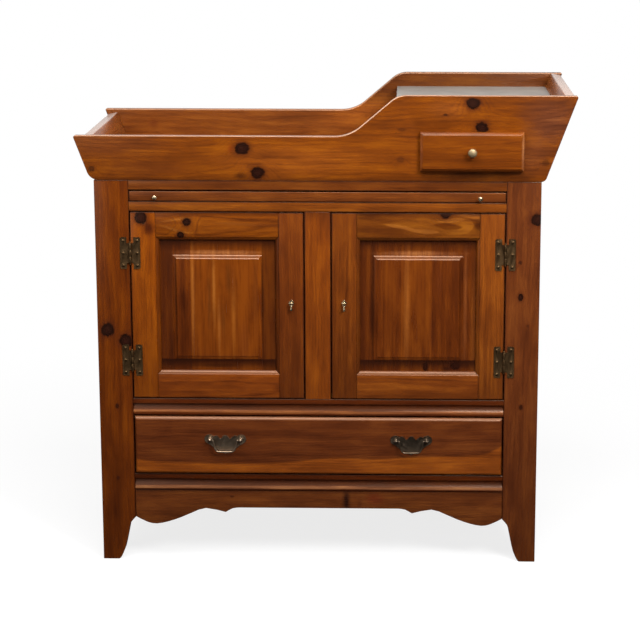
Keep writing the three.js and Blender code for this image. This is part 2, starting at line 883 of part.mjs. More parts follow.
function dropPlate(x) {
  const [halfWidth, halfHeight] = [dropPlateWidth / 2, dropPlateHeight / 2];
  const waist = halfWidth / 2;
  const shape = outline([
    [x - halfWidth, dropAxisZ],
    [x - waist, dropAxisZ - waist],
    [x, dropAxisZ - halfHeight],
    [x + waist, dropAxisZ - waist],
    [x + halfWidth, dropAxisZ],
    [x + waist, dropAxisZ + waist],
    [x, dropAxisZ + halfHeight],
    [x - waist, dropAxisZ + waist],
  ]);
  const body = join(
    frontPrism(shape, -dropPlateThickness, 0),
    barAlongY(dropPostRadius, [dropAxisY, 0], x, dropAxisZ),
    smallBall(dropBallRadius).translate(x, dropAxisY, dropAxisZ),
  );
  const reach = dropBallRadius + cutOverrun;
  return cut(body, barAlongX(dropPinRadius + runGap, [x - reach, x + reach], dropAxisY, dropAxisZ));
}

function dropPendant(x) {
  const earInner = dropBallRadius + runGap;
  const earOuter = earInner + dropEarThickness;
  const shoulder = -dropBallRadius - 2 * runGap;
  const bobLength = dropLength + shoulder;
  const profile = dropShares.map(([out, down]) => [out * dropRadius, shoulder - down * bobLength]);
  const bob = turned([[0, -dropLength], ...profile.reverse(), [0, shoulder]], smallRoundSides);
  const strapYs = [-dropEarRadius / 2, dropEarRadius / 2];
  const bridge = board([x - earOuter, x + earOuter], strapYs, [shoulder, shoulder - dropEarRadius]);
  const ears = [-1, 1].flatMap((way) => {
    const xs = [x + way * earInner, x + way * earOuter];
    const strap = board(xs, strapYs, [shoulder - dropEarRadius / 2, 0]);
    return [barAlongX(dropEarRadius, xs, 0, 0), strap];
  });
  const pin = barAlongX(dropPinRadius, [x - earOuter, x + earOuter], 0, 0);
  const drop = join(bob.rotateX(Math.PI / 2).translate(x, 0, 0), bridge, pin, ...ears);
  return drop.translate(0, dropAxisY, dropAxisZ);
}

function addDoor(side, label) {
  addPiece(`${label}_door_hinge_stile`, doorStile(side, true), stainedPine);
  addPiece(`${label}_door_lock_stile`, doorStile(side, false), stainedPine);
  addPiece(`${label}_door_top_rail`, doorRail(side, true), stainedPine);
  addPiece(`${label}_door_bottom_rail`, doorRail(side, false), stainedPine);
  addPiece(`${label}_door_panel`, raisedPanel(side), stainedPine);
  const hinges = [["upper", doorHigh - upperHingeInset], ["lower", doorLow + lowerHingeInset]];
  hinges.forEach(([place, middle]) => {
    addPiece(`${label}_${place}_hinge_frame_leaf`, frameLeaf(side, middle), antiqueBronze);
    addPiece(`${label}_${place}_hinge_door_leaf`, doorLeaf(side, middle), antiqueBronze);
  });
  const pullX = doorX(side, doorWidth - dropPullInset);
  addPiece(`${label}_door_pull_plate`, dropPlate(pullX), paleBrass);
  addPiece(`${label}_door_pull_drop`, dropPendant(pullX), paleBrass);
}

// A knob turned about the Y axis, standing out of a face.
function knob(radius, reach, x, faceY, z) {
  const profile = knobShares.map(([out, along]) => [out * radius, along * reach]);
  const shape = turned([[0, 0], ...profile, [0, reach]], roundSides);
  return shape.rotateX(Math.PI).translate(x, faceY, z);
}

function addSlideBoard() {
  const across = [-slideBoardHalf, slideBoardHalf];
  const lip = board(across, [0, frameThickness], [slideLow + slideGap, slideHigh - slideTopGap]);
  const panel = board(across, [0, slideBoardBack], [slideBoardLow, slideBoardHigh]);
  addPiece("slide_board", join(lip, panel), stainedPine);
  const reach = slideKnobStem + slideKnobRadius;
  const z = (slideLow + slideGap + slideHigh - slideTopGap) / 2 - slideKnobDrop;
  [[-1, "left_slide_knob"], [1, "right_slide_knob"]].forEach(([side, name]) => {
    addPiece(name, knob(slideKnobRadius, reach, side * (openingHalf - slideKnobInset), 0, z), paleBrass);
  });
}

// A drawer front whose front edges are eased all round by corner points (inwards, back).
function easedFront(xs, zs, face, back, edge) {
  const section = (low, high) => [
    [low, back],
    ...edge.map(([inwards, behind]) => [low + inwards, face + behind]),
    ...edge.map(([inwards, behind]) => [high - inwards, face + behind]).reverse(),
    [high, back],
  ];
  const across = planPrism(outline(section(...xs)), ...zs);
  const upright = section(...zs).map(([z, y]) => [y, z]);
  return common(across, sidePrism(outline(upright), xs));
}

// The points of a rounded edge, from the side round to the face.
function roundEdge(radius) {
  return Array.from({ length: arcSteps + 1 }, (_, i) => {
    const turn = (i / arcSteps) * (Math.PI / 2);
    return [radius * (1 - Math.sin(Math.PI / 2 - turn)), radius * (1 - Math.sin(turn))];
  });
}

const drawerHalf = openingHalf - drawerGap;
const drawerBack = drawerFrontThickness - drawerProud;
const drawerBoxHalf = openingHalf - drawerBoxSideGap;
const drawerBoxLow = bottomRailTop + runGap;

function addLargeDrawer() {
  const zs = [bottomRailTop + drawerGap, drawerTop - drawerTopGap];
  const rounded = roundEdge(drawerEdgeRadius);
  const front = easedFront([-drawerHalf, drawerHalf], zs, -drawerProud, drawerBack, rounded);
  addPiece("large_drawer_front", front, stainedPine);
  const boxEnd = backFace - drawerBoxBehind;
  const boxZs = [drawerBoxLow, drawerBoxLow + drawerBoxHeight];
  const inner = drawerBoxHalf - drawerBoxWall;
  const bottomLow = drawerBoxLow + drawerBottomRise;
  const bottomZs = [bottomLow, bottomLow + drawerBottomThickness];
  const bottomHalf = inner + drawerGrooveDepth;
  const bottomEnd = boxEnd - drawerBoxWall + drawerGrooveDepth;
  const groove = board(
    [-bottomHalf - seatGap, bottomHalf + seatGap],
    [drawerBack - cutOverrun, bottomEnd + seatGap],
    [bottomZs[0] - seatGap, bottomZs[1] + seatGap],
  );
  const ys = [drawerBack, boxEnd];
  const sides = [-1, 1].map((side) => board([side * inner, side * drawerBoxHalf], ys, boxZs));
  const back = board([-drawerBoxHalf, drawerBoxHalf], [boxEnd - drawerBoxWall, boxEnd], boxZs);
  addPiece("large_drawer_box", cut(join(...sides, back), groove), insidePine);
  const bottom = board([-bottomHalf, bottomHalf], [drawerBack, bottomEnd], bottomZs);
  addPiece("large_drawer_bottom", bottom, plywood);
}

// The bat-wing plate of a wide drawer's pull, with two pierced posts.
const pullFace = -drawerProud;
const pullAxisY = pullFace - pullPlateThickness - pullPostReach;
const pullAxisZ = bottomRailTop + pullRise;

function pullPlate(middle) {
  const place = ([out, up], height) => [out * pullPlateHalfWidth, pullAxisZ + up * height];
  const top = plateTopShares.map((share) => place(share, pullPlateTop));
  const foot = plateFootShares.map((share) => place(share, -pullPlateFoot));
  const half = [...top, [pullPlateHalfWidth, pullAxisZ], ...foot];
  const right = half.map(([out, z]) => [middle + out, z]);
  const left = half.map(([out, z]) => [middle - out, z]).reverse();
  const shape = outline([...right, [middle, pullAxisZ - pullPlateFoot], ...left]);
  const posts = [-1, 1].flatMap((way) => {
    const x = middle + (way * pullPostSpacing) / 2;
    const head = smallBall(pullHeadRadius).translate(x, pullAxisY, pullAxisZ);
    return [barAlongY(pullPostRadius, [pullAxisY, pullFace], x, pullAxisZ), head];
  });
  const plate = join(frontPrism(shape, pullFace - pullPlateThickness, pullFace), ...posts);
  const reach = pullPostSpacing / 2 + pullHeadRadius + cutOverrun;
  return cut(plate, barAlongX(bailBoreRadius, [middle - reach, middle + reach], pullAxisY, pullAxisZ));
}

// The bail: a round bar bent into a shallow bow, with a pin at each end that turns in a post.
function bail(middle) {
  const armX = pullPostSpacing / 2 - pullHeadRadius - runGap - bailRadius;
  const bow = bailShares.map(([out, down]) => [out * (armX + bailRadius), -down * bailDrop]);
  const right = [[armX, 0], ...bow].map(([x, z]) => new THREE.Vector3(x, 0, z));
  const left = right.map((point) => new THREE.Vector3(-point.x, 0, point.z)).reverse();
  const path = new THREE.CatmullRomCurve3([...right, new THREE.Vector3(0, 0, -bailDrop), ...left]);
  const section = new THREE.Shape(
    Array.from({ length: smallRoundSides }, (_, i) => {
      const turn = (i / smallRoundSides) * 2 * Math.PI;
      return new THREE.Vector2(bailRadius * Math.cos(turn), bailRadius * Math.sin(turn));
    }),
  );
  const along = { steps: bailSteps, extrudePath: path, bevelEnabled: false };
  const bow3d = new THREE.ExtrudeGeometry(section, along);
  const pins = [-1, 1].flatMap((way) => {
    const end = way * (pullPostSpacing / 2 + pullHeadRadius);
    const knuckle = smallBall(bailRadius).translate(way * armX, 0, 0);
    return [barAlongX(bailPinRadius, [way * armX, end], 0, 0), knuckle];
  });
  return join(bow3d, ...pins).translate(middle, pullAxisY, pullAxisZ);
}

function addDrawerPulls() {
  [[-1, "left"], [1, "right"]].forEach(([side, label]) => {
    addPiece(`${label}_drawer_pull_plate`, pullPlate(side * pullFromMiddle), antiqueBronze);
    addPiece(`${label}_drawer_bail`, bail(side * pullFromMiddle), antiqueBronze);
  });
}

function addSmallDrawer() {
  const zs = [smallFrontLow, smallFrontLow + smallFrontHeight];
  const bevel = [[0, smallFrontBevel], [smallFrontBevel, 0]];
  const face = -seatGap - smallFrontThickness;
  addPiece("small_drawer_front", easedFront(smallFrontXs, zs, face, -seatGap, bevel), stainedPine);
  const boxZs = [smallBoxLow, smallBoxLow + smallBoxHeight];
  const ys = [-seatGap, troughInnerBack - smallBoxBehind];
  const hollow = board(
    [smallBoxXs[0] + smallBoxWall, smallBoxXs[1] - smallBoxWall],
    [ys[0] + smallBoxWall, ys[1] - smallBoxWall],
    [boxZs[0] + smallBoxBottom, boxZs[1] + cutOverrun],
  );
  addPiece("small_drawer_box", cut(board(smallBoxXs, ys, boxZs), hollow), insidePine);
  const middleX = (smallFrontXs[0] + smallFrontXs[1]) / 2;
  const middleZ = smallFrontLow + smallFrontHeight / 2;
  addPiece("small_drawer_knob", knob(smallKnobRadius, smallKnobReach, middleX, face, middleZ), paleBrass);
}

addFrontFrame();
addCarcass();
addTrough();
addDoor(-1, "left");
addDoor(1, "right");
addSlideBoard();
addLargeDrawer();
addDrawerPulls();
addSmallDrawer();

// The origin is on the floor, under the middle of the whole outline.
const extent = new THREE.Box3().setFromObject(cabinet);
const middle = extent.getCenter(new THREE.Vector3());
cabinet.position.set(-middle.x, -middle.y, -extent.min.z);

export default cabinet;
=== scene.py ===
"""The dry sink cabinet in stained knotty pine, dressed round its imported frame."""

import json
import logging
import math
from dataclasses import dataclass, field
from enum import Enum
from typing import Any, Sequence

import bmesh
import bpy
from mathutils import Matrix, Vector


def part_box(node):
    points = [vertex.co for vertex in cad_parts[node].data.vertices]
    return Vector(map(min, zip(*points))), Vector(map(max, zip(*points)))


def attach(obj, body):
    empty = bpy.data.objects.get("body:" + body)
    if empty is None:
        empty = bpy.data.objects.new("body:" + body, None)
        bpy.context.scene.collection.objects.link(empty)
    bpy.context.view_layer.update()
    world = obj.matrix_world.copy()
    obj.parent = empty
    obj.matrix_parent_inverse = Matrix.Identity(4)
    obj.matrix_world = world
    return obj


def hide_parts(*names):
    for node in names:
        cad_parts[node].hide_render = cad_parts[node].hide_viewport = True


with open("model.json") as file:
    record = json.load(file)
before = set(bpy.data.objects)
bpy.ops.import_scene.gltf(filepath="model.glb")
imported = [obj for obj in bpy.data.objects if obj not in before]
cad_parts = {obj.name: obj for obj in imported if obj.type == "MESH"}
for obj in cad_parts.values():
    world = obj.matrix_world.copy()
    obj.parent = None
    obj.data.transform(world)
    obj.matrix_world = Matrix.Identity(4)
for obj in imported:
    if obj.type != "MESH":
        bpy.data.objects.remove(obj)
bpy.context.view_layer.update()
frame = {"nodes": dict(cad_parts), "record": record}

MM = 0.001
log = logging.getLogger("cabinet")

Point = tuple[float, float]
Place = tuple[float, float, float]
Colour = tuple[float, float, float, float]
# What a mark on a board is written with: its numbers, and perhaps its colour.
Row = tuple[float | str, ...]

WHITE: Colour = (1.0, 1.0, 1.0, 1.0)


# ---- colours and node trees


def linear(code: str, gain: float = 1.0, warm: float = 0.0) -> Colour:
    """Turns an sRGB hex colour into linear light.

    Args:
        code: The colour, as in "#8a4a1e".
        gain: How much lighter or darker it is taken, 1 for as written.
        warm: How much redder it goes as it darkens, and how much more golden as it lightens.

    Returns:
        Linear red, green and blue, and an alpha of 1.
    """
    shares = [int(code[i : i + 2], 16) / 255 for i in (1, 3, 5)]
    parts = [s / 12.92 if s <= 0.04045 else ((s + 0.055) / 1.055) ** 2.4 for s in shares]
    gains = (gain ** (1 - warm), gain ** (1 + warm), gain)
    return (*[min(1.0, part * each) for part, each in zip(parts, gains)], 1.0)


@dataclass
class Recipe:
    """A material, or the room round the object, while its node tree is put together."""

    name: str
    room: bool = False
    material: Any = field(init=False)

    def __post_init__(self) -> None:
        """Makes an empty node tree of that name."""
        self.material = (bpy.data.worlds if self.room else bpy.data.materials).new(self.name)
        self.material.use_nodes = True
        self.material.node_tree.nodes.clear()

    def add(self, kind: str, *inputs: Any, named: dict[str, Any] | None = None, **settings: Any) -> Any:
        """Adds one node with its settings and links.

        Args:
            kind: The node's type, without "ShaderNode".
            inputs: What goes into its sockets in order: a node, a socket, a value or None.
            named: The same for sockets by name.
            settings: Properties of the node.

        Returns:
            The new node.
        """
        tree = self.material.node_tree
        node = tree.nodes.new("ShaderNode" + kind)
        for key, value in settings.items():
            setattr(node, key, value)
        pairs = [(i, value) for i, value in enumerate(inputs) if value is not None]
        for key, value in [*pairs, *(named or {}).items()]:
            if isinstance(value, bpy.types.Node):
                value = next(socket for socket in value.outputs if socket.enabled)
            if isinstance(value, bpy.types.NodeSocket):
                tree.links.new(value, node.inputs[key])
            else:
                node.inputs[key].default_value = value
        return node

    def math(self, operation: str, *values: Any) -> Any:
        """Adds a sum of nodes, sockets or values."""
        return self.add("Math", *values, operation=operation)

    def span(self, value: Any, start: Any, end: Any, low: Any, high: Any, soft: bool = False) -> Any:
        """Maps a value between start and end onto low to high, eased at both ends where it is soft."""
        ease = "SMOOTHSTEP" if soft else "LINEAR"
        return self.add("MapRange", value, start, end, low, high, interpolation_type=ease)

    def swing(self, noise: Any, size: float) -> Any:
        """Swings a noise of 0 to 1 evenly round nought, as far as a size in all."""
        return self.math("MULTIPLY_ADD", noise, size, -size / 2)

    def mix(self, share: Any, first: Any, second: Any) -> Any:
        """Mixes two colours, by the share of the second."""
        return self.add("MixRGB", share, first, second)

    def millimetres(self) -> Any:
        """The place on the object in mm."""
        place = self.add("TexCoord").outputs["Object"]
        return self.add("VectorMath", place, named={"Scale": 1 / MM}, operation="SCALE")

    def upward(self) -> Any:
        """How far the surface turns up, from 0 for upright to 1 for level."""
        return self.add("SeparateXYZ", self.add("TexCoord").outputs["Normal"]).outputs[Axis.Z.value]

    def surface(
        self, colour: Any, roughness: Any, relief: tuple[Any, float, float], more: dict[str, Any] | None = None
    ) -> bpy.types.Material:
        """Ends the tree with its shader.

        Args:
            colour: The base colour.
            roughness: The roughness.
            relief: What raises the fine relief, its strength, and its height in mm.
            more: Further sockets of the shader by name.

        Returns:
            The finished material.
        """
        height, strength, depth = relief
        bump = self.add("Bump", named={"Strength": strength, "Distance": depth * MM, "Height": height})
        sockets = {"Base Color": colour, "Roughness": roughness, "Normal": bump, **(more or {})}
        self.add("OutputMaterial", self.add("BsdfPrincipled", named=sockets))
        return self.material

    def ramp(self, value: Any, stops: Sequence[tuple[float, Colour]]) -> Any:
        """Adds a colour ramp.

        Args:
            value: What drives it.
            stops: Places from 0 to 1 and their linear colours.

        Returns:
            The ramp's node.
        """
        node = self.add("ValToRGB", value)
        elements = node.color_ramp.elements
        while len(elements) < len(stops):
            elements.new(0.5)
        for element, (place, colour) in zip(elements, stops):
            element.position = place
            element.color = colour
        return node


# ---- pine


class Grain(Enum):
    """How a board lies: the axes along its grain, across its face and into its thickness."""

    ALONG_FRONT = (0, 2, 1)
    UP_FRONT = (2, 0, 1)
    UP_SIDE = (2, 1, 0)
    DEEP_SIDE = (1, 2, 0)
    ALONG_FLAT = (0, 1, 2)
    DEEP_FLAT = (1, 0, 2)


class Axis(Enum):
    """A direction of the cabinet: across the front, from front to back, and up."""

    X = 0
    Y = 1
    Z = 2


class Side(Enum):
    """A side of a board: the axis it faces along, and the low or the high end of it."""

    LEFT = (0, 0)
    RIGHT = (0, 1)
    FOOT = (2, 0)
    TOP = (2, 1)


@dataclass(frozen=True)
class Knot:
    """A knot in a face, in mm along and across the board."""

    along: float
    across: float
    radius: float
    long: float = 1.1
    strength: float = 1.0


@dataclass(frozen=True)
class Band:
    """A band of another colour between two edges, each a run of (along, across) points in mm."""

    lower: tuple[Point, ...]
    upper: tuple[Point, ...]
    colour: str
    strength: float = 1.0
    soft: float = 2.5

    @classmethod
    def between(cls, along: Row, low: Row, high: Row, *look: Any) -> "Band":
        """A band whose two edges have their points at the same places along the board."""
        return cls(tuple(zip(along, low)), tuple(zip(along, high)), *look)


@dataclass(frozen=True)
class Blotch:
    """A soft patch of another colour: its middle and its half length and half width in mm."""

    along: float
    across: float
    long: float
    wide: float
    colour: str
    strength: float = 0.6


@dataclass(frozen=True)
class Shade:
    """Painted shade and shadow, and stain that collects in recesses, darkening from a place inwards, in mm along one
    axis.

    With a hollow given, it lies only where the surface is further back than that. One that stops leaves
    what lies beyond its place undarkened.
    """

    axis: Axis
    place: float
    reach: float
    strength: float
    hollow: float | None = None
    stops: bool = False
    edge: float = 1.5


# How far a board's figure is moved along each axis for each step of its seed, in mm.
SEED_STEPS = (271.0, 139.0, 83.0)
# The width of the step at a glue line in mm, and how far the noise moves on from stave to stave.
GLUE_LINE, STAVE_STEP = 1.0, 3.7
# How strong the late wood is at places across one growth ring.
LATE_WOOD = ((0.0, 0.35), (0.25, 0.0), (0.55, 0.15), (0.82, 1.0), (1.0, 0.35))
# How far the edges of a band sway, and how far its curves may pass their own points, in mm.
BAND_SWAY, BAND_ROOM = 9.0, 10.0
# Middle colours that several boards share: inside the case, in its plywood, and down in the trough.
INSIDE_MID, PLYWOOD_MID, WELL_MID = "#a8743f", "#9c7145", "#7f4119"


@dataclass(frozen=True)
class Cut:
    """How one board was sawn from the log, how it took the stain, and where shade, shadow and highlights are painted on
    it. Lengths in mm.

    Knots and blotches are rows of what a Knot and a Blotch take.
    """

    grain: Grain
    mid: str
    seed: int
    heart: Point = (0.0, 60.0)
    taper: float = 0.02
    ring: float = 6.0
    wave: float = 14.0
    figure: float = 0.5
    streak: float = 1.0
    knots: tuple[Row, ...] = ()
    staves: tuple[Point, ...] = ()
    bands: tuple[Band, ...] = ()
    blotches: tuple[Row, ...] = ()
    # Painted shade and shadow, with some stain in recesses; sides facing gaps, with painted shadow; sides at joints,
    # with a dark line that is partly painted shade; and how strong the painted highlights are on upturned edges and on
    # level tops.
    shades: tuple[Shade, ...] = ()
    gaps: tuple[Side, ...] = ()
    joints: tuple[Side, ...] = ()
    wear_and_highlight: float = 0.0
    top_highlight: float = 0.0


@dataclass(frozen=True)
class Wood:
    """What a board's figure is drawn with: places on it in mm, its staves, and noises along its grain."""

    parts: Any
    along: Any
    across: Any
    deep: Any
    stave: Any
    stave_tone: Any
    wander: Any
    cloud: Any
    streak: Any
    fibre: Any
    ragged: Any


@dataclass(frozen=True)
class PineFinish:
    """Knotty pine, planed and sanded: soft early wood between narrow, darker late-wood lines.

    Sizes of patterns are in mm. A rim runs from where a spot is whole to where it ends, in its own radii.
    Dark and light are the gain and the warmth at the two ends of the tone.
    """

    label: str
    roughness: float
    gloss: float
    contrast: float
    knot: str
    halo: str
    # The darkest stain colour: specks are spattered in it, and painted shade and shadow, with stain that collects in
    # recesses, darken the wood towards it.
    stain_and_shade: str
    fibre: float = 2.6
    broad: float = 11.0
    cloud: float = 30.0
    wander: float = 90.0
    ragged: float = 7.0
    lazy_stretch: float = 0.3
    tight_stretch: float = 0.035
    speck: float = 1.3
    speck_spacing: float = 62.0
    specks_left_out: float = 0.55
    # Dark lines along a board's sides, from line_start to line_reach inwards: painted shadow in the gaps, and dark
    # joint lines that are partly painted shade.
    line_start: float = 0.3
    line_reach: float = 3.2
    gap_shadow: float = 0.85
    joint_line_and_shade: float = 0.35
    sheen: str = "#ffffff"
    # Colours of the painted highlights: on rounded edges that turn upwards, and on level tops.
    highlight_colour: str = "#e9b48c"
    top_highlight_colour: str = "#c4b0a5"
    dark: Point = (0.38, 0.1)
    light: Point = (1.9, 0.14)
    streak_share: float = 0.5
    cloud_share: float = 0.75
    fibre_share: float = 0.3
    line_share: float = 0.32
    blotch_rim: Point = (0.15, 1.3)
    halo_rim: Point = (0.9, 1.9)
    halo_share: float = 0.6
    knot_rim: Point = (0.8, 1.12)
    knot_rings: tuple[Point, ...] = ((0.0, 1.8), (0.5, 1.3), (0.9, 0.6))
    knot_reach: float = 4.2
    knot_push: float = 1.9
    # How far a surface turns up where the painted highlight on edges begins, where it fades towards level, and where
    # the painted highlight on level tops lies.
    turned_up: Point = (0.12, 0.5)
    near_level: Point = (0.9, 0.99)
    level: Point = (0.78, 0.93)
    relief: Point = (0.25, 0.12)

    def dress(self, name: str, cut: Cut) -> bpy.types.Material:
        """Builds the material of one board.

        Args:
            name: The board's name.
            cut: How the board was sawn and stained.

        Returns:
            The finished material.
        """
        r = Recipe(f"{self.label}.{name}")
        mm = r.millimetres()
        wood = self._wood(r, cut, mm)
        face = r.add("CombineXYZ", wood.along, wood.across)
        knots = [Knot(*row) for row in cut.knots]
        distances = [self._distance(r, face, knot, wood) for knot in knots]
        line = self._rings(r, cut, wood, [*zip(knots, distances)])
        tone = self._tone(r, cut, wood, line)

        colour = self._ramp(r, tone, cut.mid)
        for band in cut.bands:
            colour = r.mix(self._band(r, band, wood), colour, self._ramp(r, tone, band.colour))
        for blotch in (Blotch(*row) for row in cut.blotches):
            spot = Knot(blotch.along, blotch.across, blotch.wide, blotch.long / blotch.wide)
            mask = r.span(self._distance(r, face, spot, wood), *self.blotch_rim, blotch.strength, 0.0, soft=True)
            colour = r.mix(mask, colour, self._ramp(r, tone, blotch.colour))
        for knot, spread in zip(knots, distances):
            halo = r.span(spread, *self.halo_rim, self.halo_share * knot.strength, 0.0, soft=True)
            colour = r.mix(halo, colour, linear(self.halo))
            core = r.span(spread, *self.knot_rim, knot.strength, 0.0, soft=True)
            rings = r.ramp(spread, [(place, linear(self.knot, gain)) for place, gain in self.knot_rings])
            colour = r.mix(core, colour, rings)
        # Painted shade and shadow, with stain that collects in recesses, take the wood towards the darkest stain
        # colour.
        colour = r.mix(self._stain_and_shade_free(r, name, cut, wood), linear(self.stain_and_shade), colour)
        colour = self._specks(r, mm, colour)
        # Painted highlights: on rounded edges that turn upwards, and on level tops.
        if cut.wear_and_highlight:
            colour = r.mix(self._painted_highlight(r, cut.wear_and_highlight), colour, linear(self.highlight_colour))
        if cut.top_highlight:
            colour = r.mix(r.span(r.upward(), *self.level, 0.0, cut.top_highlight), colour, linear(self.top_highlight_colour))

        rough = r.span(tone, 0.1, 0.9, self.roughness + 0.05, self.roughness - 0.04)
        height = r.math("SUBTRACT", wood.fibre, line)
        lacquer = {"IOR": 1.5, "Specular IOR Level": self.gloss, "Specular Tint": linear(self.sheen)}
        return r.surface(colour, rough, (height, *self.relief), lacquer)

    def _wood(self, r: Recipe, cut: Cut, mm: Any) -> Wood:
        """Lays out what the figure is drawn with.

        Args:
            r: The material in the making.
            cut: The board.
            mm: The place on the cabinet.

        Returns:
            The board's places and noises.
        """
        parts = r.add("SeparateXYZ", mm)
        along, across, deep = (parts.outputs[axis] for axis in cut.grain.value)
        stave, stave_tone = self._staves(r, cut, across)
        shift = tuple(cut.seed * step for step in SEED_STEPS)

        def drawn(share: float) -> Any:
            """The place on the board's own figure, drawn out along the grain to a share."""
            scale = tuple(share if axis == cut.grain.value[0] else 1.0 for axis in range(3))
            return r.add("VectorMath", mm, scale, shift, operation="MULTIPLY_ADD")

        lazy, tight, afresh = drawn(self.lazy_stretch), drawn(self.tight_stretch), {"noise_dimensions": "4D"}
        return Wood(
            parts, along, across, deep, stave, stave_tone,
            wander=r.add("TexNoise", lazy, stave, 1 / self.wander, 2.0, **afresh),
            cloud=r.add("TexNoise", lazy, stave, 1 / self.cloud, 4.0, 0.6, **afresh),
            streak=r.add("TexNoise", tight, stave, 1 / self.broad, 3.0, 0.55, **afresh),
            fibre=r.add("TexNoise", tight, stave, 1 / self.fibre, 2.0, **afresh),
            ragged=r.add("TexNoise", mm, named={"Scale": 1 / self.ragged, "Detail": 2.0}),
        )

    def _painted_highlight(self, r: Recipe, strength: float) -> Any:
        """Where the painted highlight lies: on rounded edges that turn upwards, weaker as they come level."""
        start = r.span(r.upward(), *self.turned_up, 0.0, strength, soft=True)
        return r.math("MULTIPLY", start, r.span(r.upward(), *self.near_level, 1.0, 0.25))

    def _stain_and_shade_free(self, r: Recipe, name: str, cut: Cut, wood: Wood) -> Any:
        """Where the board is free of painted shade and shadow, and of stain that collects in recesses.

        Args:
            r: The material in the making.
            name: The board's name, whose sides the dark lines follow.
            cut: The board.
            wood: What its figure is drawn with.

        Returns:
            1 where it is left as it is, less where it is darkened.
        """
        shades = list(cut.shades)
        # Painted shadow in the gaps beside some sides, and dark joint lines, partly painted shade, beside others.
        for side in (*cut.gaps, *cut.joints):
            strength = self.gap_shadow if side in cut.gaps else self.joint_line_and_shade
            axis, end = side.value
            inwards = 1 - 2 * end
            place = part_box(name)[end][axis] / MM
            shades.append(Shade(Axis(axis), place + self.line_start * inwards, self.line_reach * inwards, strength))
        free_share: Any = 1.0
        for shade in shades:
            place = wood.parts.outputs[shade.axis.value]
            level = r.span(place, shade.place, shade.place + shade.reach, 1 - shade.strength, 1.0, soft=True)
            if shade.hollow is not None:
                back = wood.parts.outputs[Axis.Y.value]
                level = r.span(back, shade.hollow - shade.edge, shade.hollow, 1.0, level)
            if shade.stops:
                level = r.span(place, shade.place, shade.place - math.copysign(shade.edge, shade.reach), level, 1.0)
            free_share = r.math("MULTIPLY", free_share, level)
        return free_share

    def _ramp(self, r: Recipe, tone: Any, mid: str) -> Any:
        """A ramp of stained wood round a middle colour: darker and redder to lighter and golden."""
        return r.ramp(tone, [(0.0, linear(mid, *self.dark)), (0.5, linear(mid)), (1.0, linear(mid, *self.light))])

    @staticmethod
    def _staves(r: Recipe, cut: Cut, across: Any) -> tuple[Any, Any]:
        """Steps at the glue lines between staves.

        Args:
            r: The material in the making.
            cut: The board, whose staves are (edge, tone beyond it).
            across: The place across the board.

        Returns:
            A number that differs for each stave, and the tone that each adds.
        """
        number: Any = float(cut.seed)
        tone: Any = 0.0
        before = 0.0
        for edge, beyond in cut.staves:
            step = r.span(across, edge - GLUE_LINE / 2, edge + GLUE_LINE / 2, 0.0, 1.0)
            number = r.math("MULTIPLY_ADD", step, STAVE_STEP, number)
            tone = r.math("MULTIPLY_ADD", step, beyond - before, tone)
            before = beyond
        return number, tone

    @staticmethod
    def _distance(r: Recipe, face: Any, knot: Knot, wood: Wood) -> Any:
        """Measures how far the wood is from a knot.

        Args:
            r: The material in the making.
            face: The place along and across the board.
            knot: The knot.
            wood: What the board's figure is drawn with.

        Returns:
            The distance in the knot's own radii, uneven as its rim is.
        """
        size = (1 / (knot.radius * knot.long), 1 / knot.radius, 0.0)
        start = (-knot.along * size[0], -knot.across * size[1], 0.0)
        place = r.add("VectorMath", face, size, start, operation="MULTIPLY_ADD")
        length = r.add("VectorMath", place, operation="LENGTH")
        uneven = r.math("ADD", r.swing(wood.cloud, 0.9), r.swing(wood.ragged, 0.5))
        return r.math("ADD", length, uneven)

    def _rings(self, r: Recipe, cut: Cut, wood: Wood, knots: Sequence[tuple[Knot, Any]]) -> Any:
        """The late-wood lines where the growth rings meet the surface.

        Args:
            r: The material in the making.
            cut: The board.
            wood: What its figure is drawn with.
            knots: Each knot with the distance from it, in its radii.

        Returns:
            The strength of the line, from 0 between lines to 1 on one.
        """
        centred = r.add(
            "CombineXYZ", r.math("SUBTRACT", wood.across, cut.heart[0]), r.math("SUBTRACT", wood.deep, cut.heart[1])
        )
        reach: Any = r.add("VectorMath", centred, operation="LENGTH")
        reach = r.math("MULTIPLY_ADD", wood.along, cut.taper, reach)
        reach = r.math("MULTIPLY_ADD", wood.wander, cut.wave * 3, reach)
        for knot, spread in knots:
            far, push = self.knot_reach, knot.radius * self.knot_push
            bend = r.add("MapRange", spread, 0.0, far, push, 0.0, interpolation_type="SMOOTHERSTEP")
            reach = r.math("ADD", reach, bend)
        phase = r.math("ADD", r.math("MULTIPLY", reach, 1 / cut.ring), wood.stave)
        line = r.ramp(r.math("FRACT", phase), [(place, (level, level, level, 1.0)) for place, level in LATE_WOOD])
        single = r.add("TexWhiteNoise", named={"W": r.math("FLOOR", phase)}, noise_dimensions="1D")
        return r.math("MULTIPLY", line, r.span(single.outputs["Value"], 0.0, 1.0, 0.25, 1.0))

    def _tone(self, r: Recipe, cut: Cut, wood: Wood, line: Any) -> Any:
        """Sums what makes the wood lighter or darker, round 0.5.

        Args:
            r: The material in the making.
            cut: The board.
            wood: What its figure is drawn with.
            line: The late-wood lines.

        Returns:
            The tone, for a ramp.
        """
        tone: Any = r.math("ADD", wood.stave_tone, 0.5 + 0.1 * cut.figure)
        shares = (self.streak_share * cut.streak, self.cloud_share, self.fibre_share)
        for noise, share in zip((wood.streak, wood.cloud, wood.fibre), shares):
            tone = r.math("ADD", tone, r.swing(noise, share * self.contrast))
        return r.math("ADD", tone, r.math("MULTIPLY", line, -self.line_share * cut.figure * self.contrast))

